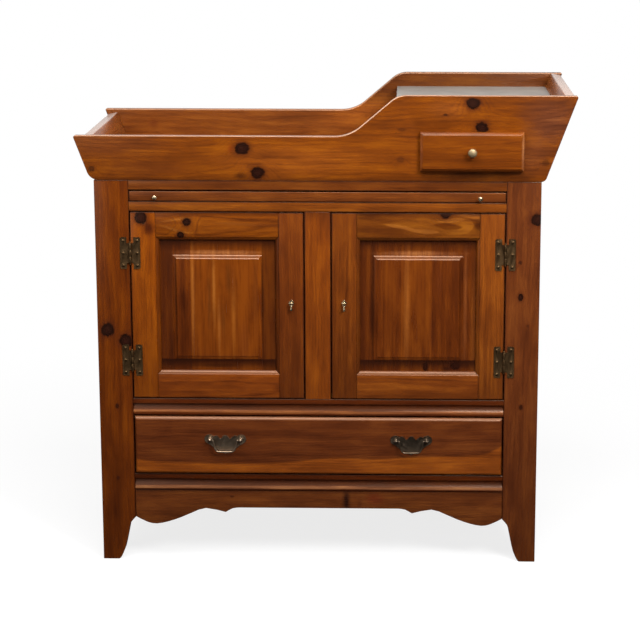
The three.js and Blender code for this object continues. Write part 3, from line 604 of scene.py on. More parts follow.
    @staticmethod
    def _band(r: Recipe, band: Band, wood: Wood) -> Any:
        """Where a band of another colour shows.

        Args:
            r: The material in the making.
            band: The band.
            wood: What the board's figure is drawn with.

        Returns:
            The band's strength.
        """
        level = r.math("ADD", wood.across, r.swing(wood.wander, BAND_SWAY))
        masks = []
        for edge, way in ((band.lower, 1.0), (band.upper, -1.0)):
            places, heights = zip(*edge)
            low, high = min(heights) - BAND_ROOM, max(heights) + BAND_ROOM
            curve = r.add("FloatCurve", 1.0, r.span(wood.along, places[0], places[-1], 0.0, 1.0))
            spots = curve.mapping.curves[0].points
            for _ in edge[2:]:
                spots.new(0.5, 0.5)
            for spot, (place, height) in zip(spots, edge):
                spot.location = ((place - places[0]) / (places[-1] - places[0]), (height - low) / (high - low))
            curve.mapping.update()
            above = r.math("SUBTRACT", level, r.span(curve, 0.0, 1.0, low, high))
            masks.append(r.span(above, -band.soft * way, band.soft * way, 0.0, 1.0))
        return r.math("MULTIPLY", r.math("MULTIPLY", *masks), band.strength)

    def _specks(self, r: Recipe, mm: Any, colour: Any) -> Any:
        """Scatters dark specks, spattered on the stain before the lacquer.

        Args:
            r: The material in the making.
            mm: The place on the cabinet.
            colour: The colour under them.

        Returns:
            The colour with the specks on it.
        """
        cells = r.add("TexVoronoi", mm, named={"Scale": 1 / self.speck_spacing})
        size = self.speck / self.speck_spacing
        dot = r.span(cells.outputs["Distance"], size * 0.7, size * 1.3, 0.75, 0.0)
        chance = r.add("SeparateXYZ", cells.outputs["Color"]).outputs[0]
        kept = r.math("GREATER_THAN", chance, self.specks_left_out)
        return r.mix(r.math("MULTIPLY", dot, kept), colour, linear(self.stain_and_shade, 0.6))


# Pine stained a deep orange brown and lacquered to a satin: knots go almost black, and a redder,
# darker brown is painted where shade falls, in gaps and where stain collects in the recesses.
STAINED_PINE = PineFinish("stained_pine", 0.27, 0.5, 1.7, "#220d07", "#4a1e0c", "#2a1008", sheen="#ffdcc2")
# Bare pine inside the case, oiled by age to honey: softer, duller, with brown knots.
INSIDE_PINE = PineFinish("inside_pine", 0.58, 0.3, 0.55, "#5b3418", "#7d4b25", "#6b4122")
# Rotary-cut plywood: a broad, pale, lazy figure and a dull surface.
PLYWOOD = PineFinish("plywood", 0.66, 0.3, 0.5, "#6b4a2c", "#80593a", "#5f452e", fibre=1.6, broad=14.0)


# ---- metals and laminate


@dataclass(frozen=True)
class AgedMetal:
    """Cast metal with a dark patina that handling has rubbed back on the high places."""

    label: str
    bright: str
    patina: str
    roughness: float
    cover: float
    pit: float = 2.4
    mottle: float = 5.0

    def dress(self, name: str, worn: float = 0.0, light: float = 1.0) -> bpy.types.Material:
        """Builds the material.

        Args:
            name: What part of the metalwork it is for.
            worn: How much of the patina is rubbed away, from 0 to 1.
            light: How much lighter or darker its colours are painted, as painted light and shade, 1 for as written.

        Returns:
            The finished material.
        """
        r = Recipe(f"{self.label}.{name}")
        mm = r.millimetres()
        mottle = r.add("TexNoise", mm, named={"Scale": 1 / self.mottle, "Detail": 4.0, "Roughness": 0.65})
        pits = r.add("TexNoise", mm, named={"Scale": 1 / self.pit, "Detail": 2.0})
        cover = self.cover * (1 - worn)
        dark = r.span(mottle, 0.62 - 0.3 * cover, 0.38 - 0.1 * cover, 0.0, cover)
        colour = r.mix(dark, linear(self.bright, light), linear(self.patina, light))
        rough = r.span(mottle, 0.3, 0.7, self.roughness + 0.1, self.roughness - 0.08)
        return r.surface(colour, rough, (pits, 0.35, 0.15), {"Metallic": r.span(dark, 0.0, 1.0, 1.0, 0.25)})


# Cast zinc with an antique bronze wash: brown-black in the hollows, greyish gold where rubbed.
ANTIQUE_BRONZE = AgedMetal("antique_bronze", "#a58f78", "#30271e", 0.42, 0.8)
# The same casting on the hinges, worn less: browner and nearer to black.
HINGE_BRONZE = AgedMetal("antique_bronze", "#755a3c", "#251a11", 0.5, 0.85)
# Lacquered brass gone pale: a soft straw yellow with a little brown in the turnings.
PALE_BRASS = AgedMetal("pale_brass", "#e6cfa8", "#8d7346", 0.24, 0.35)
# The same brass gone dull under old lacquer: an even khaki without sharp reflections.
DULL_BRASS = AgedMetal("pale_brass", "#bda680", "#8d7850", 0.6, 0.7)


@dataclass(frozen=True)
class GreyLaminate:
    """High-pressure laminate pressed to a fine matt grain: an even warm grey, faintly mottled."""

    label: str = "grey_laminate"
    base: str = "#8f8a83"
    roughness: float = 0.42
    mottle: float = 55.0
    press: float = 1.2

    def dress(self, name: str) -> bpy.types.Material:
        """Builds the material of a laid top.

        Args:
            name: The top's name.

        Returns:
            The finished material.
        """
        r = Recipe(f"{self.label}.{name}")
        mm = r.millimetres()
        mottle = r.add("TexNoise", mm, named={"Scale": 1 / self.mottle, "Detail": 4.0})
        press = r.add("TexNoise", mm, named={"Scale": 1 / self.press, "Detail": 1.0})
        colour = r.ramp(mottle, [(0.3, linear(self.base, 0.88)), (0.7, linear(self.base, 1.12))])
        return r.surface(colour, self.roughness, (press, 0.2, 0.05))


# ---- work on the bench


def body_of(node: str) -> str:
    """The CAD body that a node belongs to."""
    bodies = frame["record"]["behaviour"]["bodies"]
    return next(body for body, members in bodies.items() if node in members)


# Points of a CAD mesh nearer than this become one, in mm.
WELD = 0.002
# The field of a fitting is a flat face to the front of at least this area in mm2. Its rim slopes this much.
FIELD_AREA, FIELD_FRONT, RIM_SLOPE = 60.0, -0.999, (-0.998, -0.8)


@dataclass
class Workpiece:
    """A mesh on the bench, shaped in edit mode and finished with modifiers."""

    obj: bpy.types.Object

    @staticmethod
    def clear() -> None:
        """Deselects everything."""
        if bpy.context.mode != "OBJECT":
            bpy.ops.object.mode_set(mode="OBJECT")
        bpy.ops.object.select_all(action="DESELECT")

    @classmethod
    def from_node(cls, node: str, flat: float = 0.4) -> "Workpiece":
        """Takes a welded copy of a CAD node's mesh.

        Args:
            node: The node's name.
            flat: The angle in degrees under which neighbouring faces become one.

        Returns:
            The copy.
        """
        cls.clear()
        source = frame["nodes"][node]
        obj = bpy.data.objects.new(f"{node}_dressed", source.data.copy())
        obj.data.name = obj.name
        obj.data.materials.clear()
        bpy.context.scene.collection.objects.link(obj)
        piece = cls(obj)
        piece.edit()
        bpy.ops.mesh.select_all(action="SELECT")
        bpy.ops.mesh.customdata_custom_splitnormals_clear()
        bpy.ops.mesh.remove_doubles(threshold=WELD * MM)
        bpy.ops.mesh.dissolve_limited(angle_limit=math.radians(flat))
        bpy.ops.object.mode_set(mode="OBJECT")
        return piece

    def take(self) -> None:
        """Makes the piece the only one selected."""
        self.clear()
        self.obj.select_set(True)
        bpy.context.view_layer.objects.active = self.obj

    def edit(self) -> None:
        """Takes the piece into edit mode."""
        self.take()
        bpy.ops.object.mode_set(mode="EDIT")

    def apply(self, kind: str, **settings: Any) -> "Workpiece":
        """Adds a modifier and applies it.

        Args:
            kind: The modifier's type.
            settings: Its properties.

        Returns:
            The piece.
        """
        self.take()
        modifier = self.obj.modifiers.new(kind.title(), kind)
        for key, value in settings.items():
            setattr(modifier, key, value)
        bpy.ops.object.modifier_apply(modifier=modifier.name)
        return self

    def ease(self, width: float, segments: int = 3, above: float = 28.0, **settings: Any) -> "Workpiece":
        """Eases the edges that turn more than an angle in degrees, to a width in mm with so many faces."""
        settings.update(width=width * MM, segments=segments, limit_method="ANGLE", angle_limit=math.radians(above))
        return self.apply("BEVEL", **settings)

    def smooth(self, angle: float = 32.0) -> "Workpiece":
        """Shades it smooth.

        Args:
            angle: Edges that turn more than this in degrees stay sharp.

        Returns:
            The piece.
        """
        self.take()
        bpy.ops.object.shade_smooth_by_angle(angle=math.radians(angle))
        return self

    def finish(self, slot: str, material: bpy.types.Material, *nodes: str, extra: Sequence[Any] = ()) -> None:
        """Gives the piece its material, hangs it on its body and takes the nodes' place.

        Args:
            slot: The record's material slot; not used.
            material: Its material.
            nodes: The CAD nodes that it stands for.
            extra: Further materials, for faces that name them.
        """
        self.obj.data.materials.clear()
        for each in (material, *extra):
            self.obj.data.materials.append(each)
        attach(self.obj, body_of(nodes[0]))
        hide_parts(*nodes)
        log.info("%s: %d faces", self.obj.name, len(self.obj.data.polygons))


def board(
    node: str, cut: Cut, edge: float = 1.3, finish: PineFinish = STAINED_PINE, above: float = 28.0, segments: int = 3
) -> None:
    """Dresses a wooden piece: its form from the frame, with eased edges in mm and its own figure."""
    piece = Workpiece.from_node(node).ease(edge, segments, above).smooth()
    piece.finish(finish.label, finish.dress(node, cut), node)


def hardware(
    node: str, finish: AgedMetal, edge: float, *materials: bpy.types.Material, rim: float = 1.6, sink: float = 0.5
) -> None:
    """Dresses a cast fitting: its flat front sunk within a raised, rubbed rim.

    Args:
        node: The CAD node.
        finish: Its metal.
        edge: The width of its eased edges in mm.
        materials: The metal of the field, and that of the rubbed edges.
        rim: The width of the rim in mm.
        sink: How far the field lies under it in mm.
    """
    piece = Workpiece.from_node(node)
    piece.edit()
    bpy.ops.mesh.select_mode(type="FACE")
    bpy.ops.mesh.select_all(action="DESELECT")
    mesh = bmesh.from_edit_mesh(piece.obj.data)
    fields = [face for face in mesh.faces if face.normal.y < FIELD_FRONT and face.calc_area() > FIELD_AREA * MM * MM]
    for face in fields:
        face.select_set(True)
    bmesh.update_edit_mesh(piece.obj.data)
    if fields:
        bpy.ops.mesh.inset(thickness=rim * MM, depth=-sink * MM)
        mesh = bmesh.from_edit_mesh(piece.obj.data)
        for face in mesh.faces:
            sloped = RIM_SLOPE[0] < face.normal.y < RIM_SLOPE[1]
            face.material_index = int(sloped and not face.select)
        bmesh.update_edit_mesh(piece.obj.data)
    bpy.ops.object.mode_set(mode="OBJECT")
    for each in materials:
        piece.obj.data.materials.append(each)
    piece.ease(edge, 2, 35, material=len(materials) - 1).smooth(40)
    piece.finish(finish.label, materials[0], node, extra=materials[1:])


def hidden(node: str, slot: str, material: bpy.types.Material) -> None:
    """Gives a CAD node that stays as it is a material.

    Args:
        node: The CAD node.
        slot: The record's material slot.
        material: Its material.
    """
    obj = frame["nodes"][node]
    obj.data.materials.clear()
    obj.data.materials.append(material)
    log.info("%s keeps its form, in %s", node, slot)


# ---- sub-assemblies


@dataclass
class FrontFrame:
    """The face frame: two wide stiles, plain and moulded rails, the centre stile and the apron."""

    def build(self) -> None:
        """Builds and dresses the frame's boards."""
        # Painted shade: the stiles darken towards the floor. Their sides at gaps get painted shadow.
        shade_towards_floor = Shade(Axis.Z, 0, 620, 0.26)
        cut = Cut(
            Grain.UP_FRONT, "#652b04", 3, (-640, -170), 0.015, 7.0, figure=0.4,
            knots=(
                (596, -538, 15.5, 1.15), (568, -494, 16, 1.1), (401, -519, 4.5, 1.3, 0.8), (214, -521, 3.5, 1.2, 0.7),
            ),
            shades=(shade_towards_floor,), gaps=(Side.TOP, Side.RIGHT),
        )
        board("left_front_stile", cut)
        cut = Cut(
            Grain.UP_FRONT, "#622e11", 8, (600, -150), 0.015, 7.0, figure=0.4,
            knots=(
                (878, 516, 15, 1.1), (684, 479, 7, 1.5), (771, 477, 3.6, 1.2, 0.7), (404, 484, 5, 1.3, 0.8),
                (612, 497, 3, 1.2, 0.5),
            ),
            shades=(shade_towards_floor,), gaps=(Side.TOP, Side.LEFT),
        )
        board("right_front_stile", cut)
        # Painted shadow in the gaps above and below the top rail and the slide rail.
        both = (Side.TOP, Side.FOOT)
        # Painted shade on the top rail under the trough's front.
        shade = Shade(Axis.Z, 971, -22, 0.35)
        board("top_rail", Cut(Grain.ALONG_FRONT, "#72370f", 12, (900, -190), shades=(shade,), gaps=both), 0.4)
        board("slide_rail", Cut(Grain.ALONG_FRONT, "#7d3e0e", 17, (860, -200), ring=5, gaps=both), 0.7)
        # Painted shade on the centre stile's top, under the slide rail, and painted shadow in the gaps at its sides.
        sides, top, shade = (Side.LEFT, Side.RIGHT), (Side.TOP,), Shade(Axis.Z, 894, -30, 0.35)
        board("centre_stile", Cut(Grain.UP_FRONT, "#7b390a", 21, (70, -190), shades=(shade,), gaps=sides, joints=top))
        ends = (-480, 442)
        # On the moulded rails: a painted highlight along the lip, painted shade in the hollow above it, and a faint
        # painted highlight on upturned edges.
        bead_highlight = Band.between(ends, (385.5, 385.5), (391.5, 391.5), "#a8663a", 0.55, 1.6)
        hollow = Band.between(ends, (393, 393), (403, 403), "#2e1204", 0.45, 2.0)
        marks = {"bands": (bead_highlight, hollow), "gaps": top, "joints": (Side.FOOT,), "wear_and_highlight": 0.03}
        board("middle_rail", Cut(Grain.ALONG_FRONT, "#562308", 26, (450, -190), **marks), 1.0)
        bead_highlight = Band.between(ends, (189, 189), (195.5, 195.5), "#b0744c", 0.6, 1.6)
        hollow = Band.between(ends, (197.5, 197.5), (210, 210), "#2e1206", 0.45, 2.4)
        marks = {"bands": (bead_highlight, hollow), "gaps": both, "wear_and_highlight": 0.03}
        board("bottom_rail", Cut(Grain.ALONG_FRONT, "#4c1d05", 29, (260, -200), **marks), 1.0)
        cut = Cut(
            Grain.ALONG_FRONT, "#612f11", 33, (240, -190), figure=0.5,
            knots=((-236, 166, 3, 1.4, 0.5),),
            blotches=(
                (51, 160, 12, 34, "#220d09", 0.95), (122, 162, 26, 20, "#64230f", 0.6),
                (84, 150, 8, 14, "#3f190c", 0.5),
            ),
            # Painted shade on the apron's top, under the bottom rail, and painted shadow in the gap above.
            shades=(Shade(Axis.Z, 184, -26, 0.4),), gaps=top,
        )
        board("apron", cut)


@dataclass
class Carcass:
    """The case behind the frame: its sides, and the boards that only show when it is open."""

    def build(self) -> None:
        """Builds the sides and dresses the inner boards."""
        # Painted shade: the sides darken towards the floor.
        shades = (Shade(Axis.Z, 0, 560, 0.3),)
        staves = ((-60, 0.05), (75, -0.06), (200, 0.02))
        sides = (
            ("left", 41, ((720, -120, 9), (430, 40, 12), (300, 190, 8))),
            ("right", 47, ((800, 150, 11), (560, -30, 8), (330, -160, 10))),
        )
        for side, seed, knots in sides:
            size = ((20, 640), 0.02, 8.0)
            cut = Cut(Grain.UP_SIDE, "#7a3d14", seed, *size, figure=0.5, staves=staves, knots=knots, shades=shades)
            board(f"{side}_side_panel", cut, 1.2)
        back = Cut(Grain.ALONG_FRONT, PLYWOOD_MID, 51, (500, 90), ring=11)
        hidden("back_panel", "plywood", PLYWOOD.dress("back_panel", back))
        for node, seed in (("cupboard_floor", 53), ("cupboard_shelf", 57)):
            cut = Cut(Grain.ALONG_FLAT, INSIDE_MID, seed, (0, 340), ring=7, knots=((120, -60, 8), (-300, 90, 6)))
            board(node, cut, 1.0, INSIDE_PINE)
        for node, seed in (("left_slide_runner", 61), ("right_slide_runner", 62), ("drawer_web_frame", 64)):
            board(node, Cut(Grain.DEEP_FLAT, INSIDE_MID, seed, (0, 500), ring=6), 0.8, INSIDE_PINE)


@dataclass
class Trough:
    """The open trough with its stepped rim, its sloping ends and the tray."""

    edge: float = 5.5

    def build(self) -> None:
        """Builds and dresses the trough's boards and the tray."""
        cut = Cut(
            Grain.ALONG_FRONT, "#783907", 71, (1215, -330), 0.03, 8.0, 18, 0.5,
            knots=(
                (-201, 1050, 15, 1.25), (-164, 991, 15, 1.15), (-567, 999, 7, 1.1, 0.55),
                (357, 1161, 14.5, 1.1), (379, 1103, 14, 1.2), (291, 1134, 2.5, 1.6, 0.7),
                (185, 1097, 4, 2.4, 0.4), (183, 1024, 7, 1.1, 0.3), (534, 1018, 8, 1.1, 0.4),
            ),
            staves=((1089.6, -0.07),),
            blotches=(
                # (365, 985) is the painted shadow under the small drawer.
                (365, 985, 128, 14, "#2e1508", 0.75), (-228, 1050, 11, 14, "#6a2408", 0.8),
                (-205, 983, 22, 11, "#2f1006", 0.8), (500, 1040, 60, 60, "#67361d", 0.6),
                # The two #6d3410 patches darken the left end: partly the wood's tone, partly painted shade.
                (545, 1120, 80, 70, "#683720", 0.85), (-520, 1060, 150, 40, "#6d3410", 0.6),
                (-440, 1000, 120, 25, "#6d3410", 0.5), (-90, 1020, 200, 45, "#9a5016", 0.5),
                (300, 1150, 60, 25, "#97501a", 0.5),
            ),
            # Painted shade along the front's lower edge, with a dark joint line there that is partly painted shade; a
            # strong painted highlight on the rim's upturned edges.
            shades=(Shade(Axis.Z, 971, 14, 0.3),), joints=(Side.FOOT,), wear_and_highlight=0.8,
        )
        board("trough_front", cut, self.edge, segments=4)
        cut = Cut(
            Grain.ALONG_FRONT, "#7a3f15", 77, (940, 380), 0.02, 8.0, 18, 0.45,
            blotches=(
                (-480, 1040, 14, 18, "#5c2610", 0.6), (-120, 1050, 130, 60, "#6f3814", 0.6),
                (120, 1060, 160, 50, "#9a5018", 0.6),
            ),
            # Darker from 1130 mm up, and a painted highlight on the rim's upturned edges.
            shades=(Shade(Axis.Z, 1130, -40, 0.45),), wear_and_highlight=0.28,
        )
        board("trough_back", cut, self.edge, segments=4)
        for side, seed in (("left", 83), ("right", 89)):
            # A painted highlight on the ends' level tops.
            calm = Cut(Grain.DEEP_SIDE, "#8a4a20", seed, (1050, 0), 0.03, 18.0, 6, 0.3, top_highlight=0.75)
            board(f"trough_{side}_end", calm, self.edge)
        board("trough_floor", Cut(Grain.ALONG_FLAT, WELL_MID, 91, (30, 880), 0.02, 8.0, knots=((-220, 30, 9),)), 0.8)
        board("tray_divider", Cut(Grain.DEEP_SIDE, WELL_MID, 94, (1060, 120)), 0.8)
        board("small_drawer_guide", Cut(Grain.DEEP_FLAT, INSIDE_MID, 96, (0, 900)), 0.6, INSIDE_PINE)
        deck = Workpiece.from_node("tray_deck").ease(0.8).smooth()
        deck.finish("grey_laminate", GreyLaminate().dress("tray"), "tray_deck")


@dataclass
class Door:
    """A framed door with a raised panel, two butterfly hinges and a drop pull."""

    label: str
    stile_mid: str
    lock_mid: str
    rail_mid: str
    foot_mid: str
    panel_mid: str
    seed: int
    hinge_knots: tuple[Row, ...] = ()
    rail_knots: tuple[Row, ...] = ()
    rail_bands: tuple[Band, ...] = ()
    hinge_blotches: tuple[Row, ...] = ()
    rail_blotches: tuple[Row, ...] = ()
    panel_blotches: tuple[Row, ...] = ()
    panel_knots: tuple[Row, ...] = ()
    panel_staves: tuple[Point, ...] = ()
    panel_span: Point = (0.0, 0.0)
    bevel: float = 38.0
    # Where the bevel begins in depth, and how dark its left and right sides are taken by stain and painted shade in the
    # recess.
    bevel_back: float = -236.8
    bevel_dark: Point = (0.42, 0.46)
    rail_heart: Point = (860.0, -190.0)
    rail_taper: float = 0.02

    def build(self) -> None:
        """Builds and dresses the door."""
        # Painted shade: the top rail darkens along its top, under the slide rail, and the stiles towards the floor.
        top, shade_towards_floor = Shade(Axis.Z, 895, -16, 0.3), Shade(Axis.Z, 420, 260, 0.22)
        # Darker deeper in: stain collected in the sticking's quirk, and painted shade on the edges that turn into the
        # gaps.
        moulded = Shade(Axis.Y, -238.6, -1.2, 0.35)
        # Sides at gaps get painted shadow; the rails' sides at the stiles a dark joint line.
        ends, sides = (Side.TOP, Side.FOOT), (Side.LEFT, Side.RIGHT)
        outer, inner = sides if self.label == "left" else sides[::-1]
        shades = (shade_towards_floor, moulded)
        cut = Cut(
            Grain.UP_FRONT, self.stile_mid, self.seed, (0, -200), knots=self.hinge_knots,
            blotches=self.hinge_blotches, shades=shades, gaps=(*ends, outer),
        )
        self._member("hinge_stile", cut)
        cut = Cut(Grain.UP_FRONT, self.lock_mid, self.seed + 1, (90, -190), shades=shades, gaps=(*ends, inner))
        self._member("lock_stile", cut)
        cut = Cut(
            Grain.ALONG_FRONT, self.rail_mid, self.seed + 2, self.rail_heart, self.rail_taper, 6.5, figure=0.8,
            knots=self.rail_knots, bands=self.rail_bands, blotches=self.rail_blotches, shades=(top, moulded),
            gaps=(Side.TOP,), joints=sides,
        )
        self._member("top_rail", cut)
        # A faint painted highlight on the bottom rail's upturned sticking.
        cut = Cut(
            Grain.ALONG_FRONT, self.foot_mid, self.seed + 3, (440, -200), figure=0.7, shades=(moulded,),
            gaps=(Side.FOOT,), joints=sides, wear_and_highlight=0.12,
        )
        self._member("bottom_rail", cut)
        self._panel()
        self._metal()

    def _member(self, part: str, cut: Cut) -> None:
        """Dresses one board of the door's frame."""
        board(f"{self.label}_door_{part}", cut, 1.0, above=20)

    def _panel(self) -> None:
        """Dresses the raised panel: stain and painted shade and shadow darken its bevel, and a painted highlight lies
        on its upturned edges.
        """
        low, high = self.panel_span
        back = self.bevel_back
        # Left and right bevels: stain and painted shade in the recess. Top and bottom: painted shadows cast by the top
        # rail and by the raised field's lower edge. Last: painted shade on the bevel beside the stile on the right.
        shades = (
            Shade(Axis.X, low + self.bevel, 6, self.bevel_dark[0], back),
            Shade(Axis.X, high - self.bevel, -6, self.bevel_dark[1], back),
            Shade(Axis.Z, 828, -38, 0.9, back), Shade(Axis.Z, 521, -36, 0.93, back, stops=True),
            Shade(Axis.X, high, -26, 0.4, back),
        )
        # A painted highlight on the panel's upturned edges.
        cut = Cut(
            Grain.UP_FRONT, self.panel_mid, self.seed + 4, ((low + high) / 2, -215), 0.035, 9.0, 22, 0.3, 1.4,
            knots=self.panel_knots, staves=self.panel_staves, blotches=self.panel_blotches, shades=shades, wear_and_highlight=0.22,
        )
        board(f"{self.label}_door_panel", cut, 0.8, above=12)

    def _metal(self) -> None:
        """Dresses the hinges and the pull."""
        body = HINGE_BRONZE.dress(f"{self.label}_hinges")
        wear_and_highlight = HINGE_BRONZE.dress(f"{self.label}_hinge_edges", 0.5)
        for place in ("upper", "lower"):
            for leaf in ("frame", "door"):
                hardware(f"{self.label}_{place}_hinge_{leaf}_leaf", HINGE_BRONZE, 0.3, body, wear_and_highlight)
        brass = PALE_BRASS.dress(f"{self.label}_pull")
        for part in ("plate", "drop"):
            node = f"{self.label}_door_pull_{part}"
            Workpiece.from_node(node).ease(0.25, 2, 35).smooth(45).finish("pale_brass", brass, node)


@dataclass
class PullOutBoard:
    """The board that slides out over the doors, with its two small knobs."""

    def build(self) -> None:
        """Builds and dresses the board and its knobs."""
        # Painted shadow in the gaps at the board's sides and underside, and a painted highlight on its upturned top
        # edge.
        rim = (Side.LEFT, Side.RIGHT, Side.FOOT)
        board("slide_board", Cut(Grain.ALONG_FRONT, "#703712", 131, (1120, -190), ring=5.0, gaps=rim, wear_and_highlight=0.2), 1.0)
        brass = PALE_BRASS.dress("slide_knobs")
        for side in ("left", "right"):
            node = f"{side}_slide_knob"
            Workpiece.from_node(node).smooth(50).finish("pale_brass", brass, node)


@dataclass
class WideDrawer:
    """The wide drawer with its rounded front, box and two bail pulls."""

    def build(self) -> None:
        """Builds and dresses the drawer."""
        stripe = Band(
            ((-477, 200), (440, 200)),
            (
                (-477, 265), (-380, 257), (-209, 255), (-84, 262), (35, 272),
                (98, 270), (222, 277), (379, 282), (424, 298), (440, 306),
            ),
            "#8a440f", 0.85, 2.6,
        )
        # Painted shadow in the gaps at the front's sides and below, and a painted highlight on its upturned top edge.
        cut = Cut(
            Grain.ALONG_FRONT, "#5c2a0f", 141, (470, -230), 0.03, 7.0, 14, 0.5, bands=(stripe,),
            gaps=(Side.LEFT, Side.RIGHT, Side.FOOT), wear_and_highlight=0.16,
        )
        board("large_drawer_front", cut, 0.8)
        board("large_drawer_box", Cut(Grain.DEEP_SIDE, INSIDE_MID, 147, (300, 120)), 0.8, INSIDE_PINE)
        bottom = Cut(Grain.ALONG_FLAT, PLYWOOD_MID, 151, (0, 160))
        hidden("large_drawer_bottom", "plywood", PLYWOOD.dress("drawer_bottom", bottom))
        # The two pulls are the same casting: the left one's colours are painted lighter and the right one's darker, as
        # painted light and shade.
        for side, light in (("left", 1.1), ("right", 0.55)):
            body = ANTIQUE_BRONZE.dress(f"{side}_pull", light=light)
            wear_and_highlight = ANTIQUE_BRONZE.dress(f"{side}_pull_edges", 0.8)
            hardware(f"{side}_drawer_pull_plate", ANTIQUE_BRONZE, 0.9, body, wear_and_highlight)
            node = f"{side}_drawer_bail"
            bail = Workpiece.from_node(node).ease(0.4, 2, 40, material=1).smooth(50)
            bail.finish("antique_bronze", body, node, extra=(wear_and_highlight,))


@dataclass
class SmallDrawer:
    """The small drawer under the tray, with a bevelled front and a brass knob."""

    def build(self) -> None:
        """Builds and dresses the drawer."""
        # Painted light along the front's bevelled ends.
        ends = ((478.5, 1048, 4, 58, "#b5754a", 0.6), (233, 1048, 3.5, 58, "#a05a34", 0.5))
        front = Cut(Grain.ALONG_FRONT, "#743607", 161, (1180, -330), 0.03, 7.0, 16, 0.5, blotches=ends)
        board("small_drawer_front", front, 0.8)
        board("small_drawer_box", Cut(Grain.DEEP_SIDE, INSIDE_MID, 167, (1120, 120)), 0.8, INSIDE_PINE)
        knob = "small_drawer_knob"
        Workpiece.from_node(knob).smooth(50).finish("pale_brass", DULL_BRASS.dress("small_knob"), knob)


# ---- studio


@dataclass
class Studio:
    """The pale floor, the soft lights and the camera."""

    camera_place: Place = (0.19982, -4.77932, 1.74635)
    camera_tilt: float = 0.197418
    camera_turn: float = 0.016012
    camera_roll: float = -0.002079
    lens: float = 106.82
    shift: Point = (-0.0906, -0.1328)
    ambient: float = 0.224
    dark_room: float = 0.016
    paint: str = "#868686"
    lift: float = 0.8
    floor_size: float = 90.0
    shadow_fades: Point = (0.8, 2.2)

    def build(self) -> None:
        """Sets up the view, the world, the floor, the lamps and the camera."""
        bpy.context.scene.view_settings.view_transform = "Standard"
        self._world()
        self._floor()
        self._lamp("key", (1.6, -2.4, 2.7), (0.0, 0.0, 0.7), (1.1, 0.9), 85.0)
        self._lamp("overhead", (-0.4, -1.8, 4.1), (0.0, -0.2, 0.6), (3.0, 2.2), 150.0)
        self._lamp("fill", (-2.6, -3.4, 1.6), (0.0, 0.0, 0.6), (2.0, 2.0), 16.0)
        self._camera()

    def _world(self) -> None:
        """A room that lights from above, is dark before the object and white behind it and to the camera."""
        r = Recipe("studio_room", room=True)
        way = r.add("SeparateXYZ", r.add("TexCoord").outputs["Generated"])
        from_eye, from_gloss = self._rays(r)
        lit = r.span(way.outputs[Axis.Z.value], -0.3, 1.0, self.ambient * 0.5, self.ambient * 1.5)
        shown = r.span(way.outputs[Axis.Y.value], 0.1, 0.9, self.dark_room, 0.8, soft=True)
        mirrored = r.span(from_gloss, 0.0, 1.0, lit, shown)
        r.add("OutputWorld", r.add("Background", WHITE, r.span(from_eye, 0.0, 1.0, mirrored, 1.0)))
        bpy.context.scene.world = r.material

    def _floor(self) -> None:
        """A pale floor that keeps the object's shadow and goes to plain white further out."""
        Workpiece.clear()
        bpy.ops.mesh.primitive_plane_add(size=self.floor_size)
        floor = bpy.context.object
        floor.name = floor.data.name = "studio_floor"
        r = Recipe("painted_studio_floor")
        place = r.add("TexCoord").outputs["Object"]
        from_eye, from_gloss = self._rays(r)
        far = r.span(r.add("VectorMath", place, operation="LENGTH"), *self.shadow_fades, 0.0, 1.0, soft=True)
        behind = r.span(r.add("SeparateXYZ", place).outputs[Axis.Y.value], 0.3, 1.0, self.dark_room / 2, 1.0)
        paint = r.add("BsdfDiffuse", linear(self.paint))
        near = r.add("AddShader", paint, r.add("Emission", WHITE, self.lift))
        to_eye = r.add("MixShader", far, near, r.add("Emission", WHITE, 1.0))
        mirrored = r.add("MixShader", from_gloss, paint, r.add("Emission", WHITE, behind))
        r.add("OutputMaterial", r.add("MixShader", from_eye, mirrored, to_eye))
        floor.data.materials.append(r.material)

    @staticmethod
    def _rays(r: Recipe) -> tuple[Any, Any]:
        """Tells whether a ray comes from the camera, and whether from something glossy or clear."""
        rays = r.add("LightPath").outputs
        return rays["Is Camera Ray"], r.math("MAXIMUM", rays["Is Glossy Ray"], rays["Is Transmission Ray"])

    @staticmethod
    def _lamp(name: str, place: Place, aim: Place, size: Point, power: float) -> None:
        """Hangs one soft box.

        Args:
            name: Its name.
            place: Where it hangs.
            aim: What it faces.
            size: Its width and height in metres.
            power: Its power in watts.
        """
        lamp = bpy.data.lights.new(name, "AREA")
        lamp.shape, lamp.size, lamp.size_y, lamp.energy = "RECTANGLE", size[0], size[1], power
        holder = bpy.data.objects.new(name, lamp)
        holder.location = place
        holder.rotation_euler = (Vector(aim) - Vector(place)).to_track_quat("-Z", "Y").to_euler()
        bpy.context.scene.collection.objects.link(holder)

    def _camera(self) -> None:
        """The camera at the photograph's place and angle."""
        camera = bpy.data.cameras.new("camera")
        camera.sensor_width, camera.lens = 36.0, self.lens
        camera.shift_x, camera.shift_y = self.shift
        camera.clip_end = 200.0
        holder = bpy.data.objects.new("camera", camera)
        holder.location = self.camera_place
        holder.rotation_euler = (math.pi / 2 - self.camera_tilt, self.camera_roll, self.camera_turn)
        bpy.context.scene.collection.objects.link(holder)
        bpy.context.scene.camera = holder


# ---- the cabinet


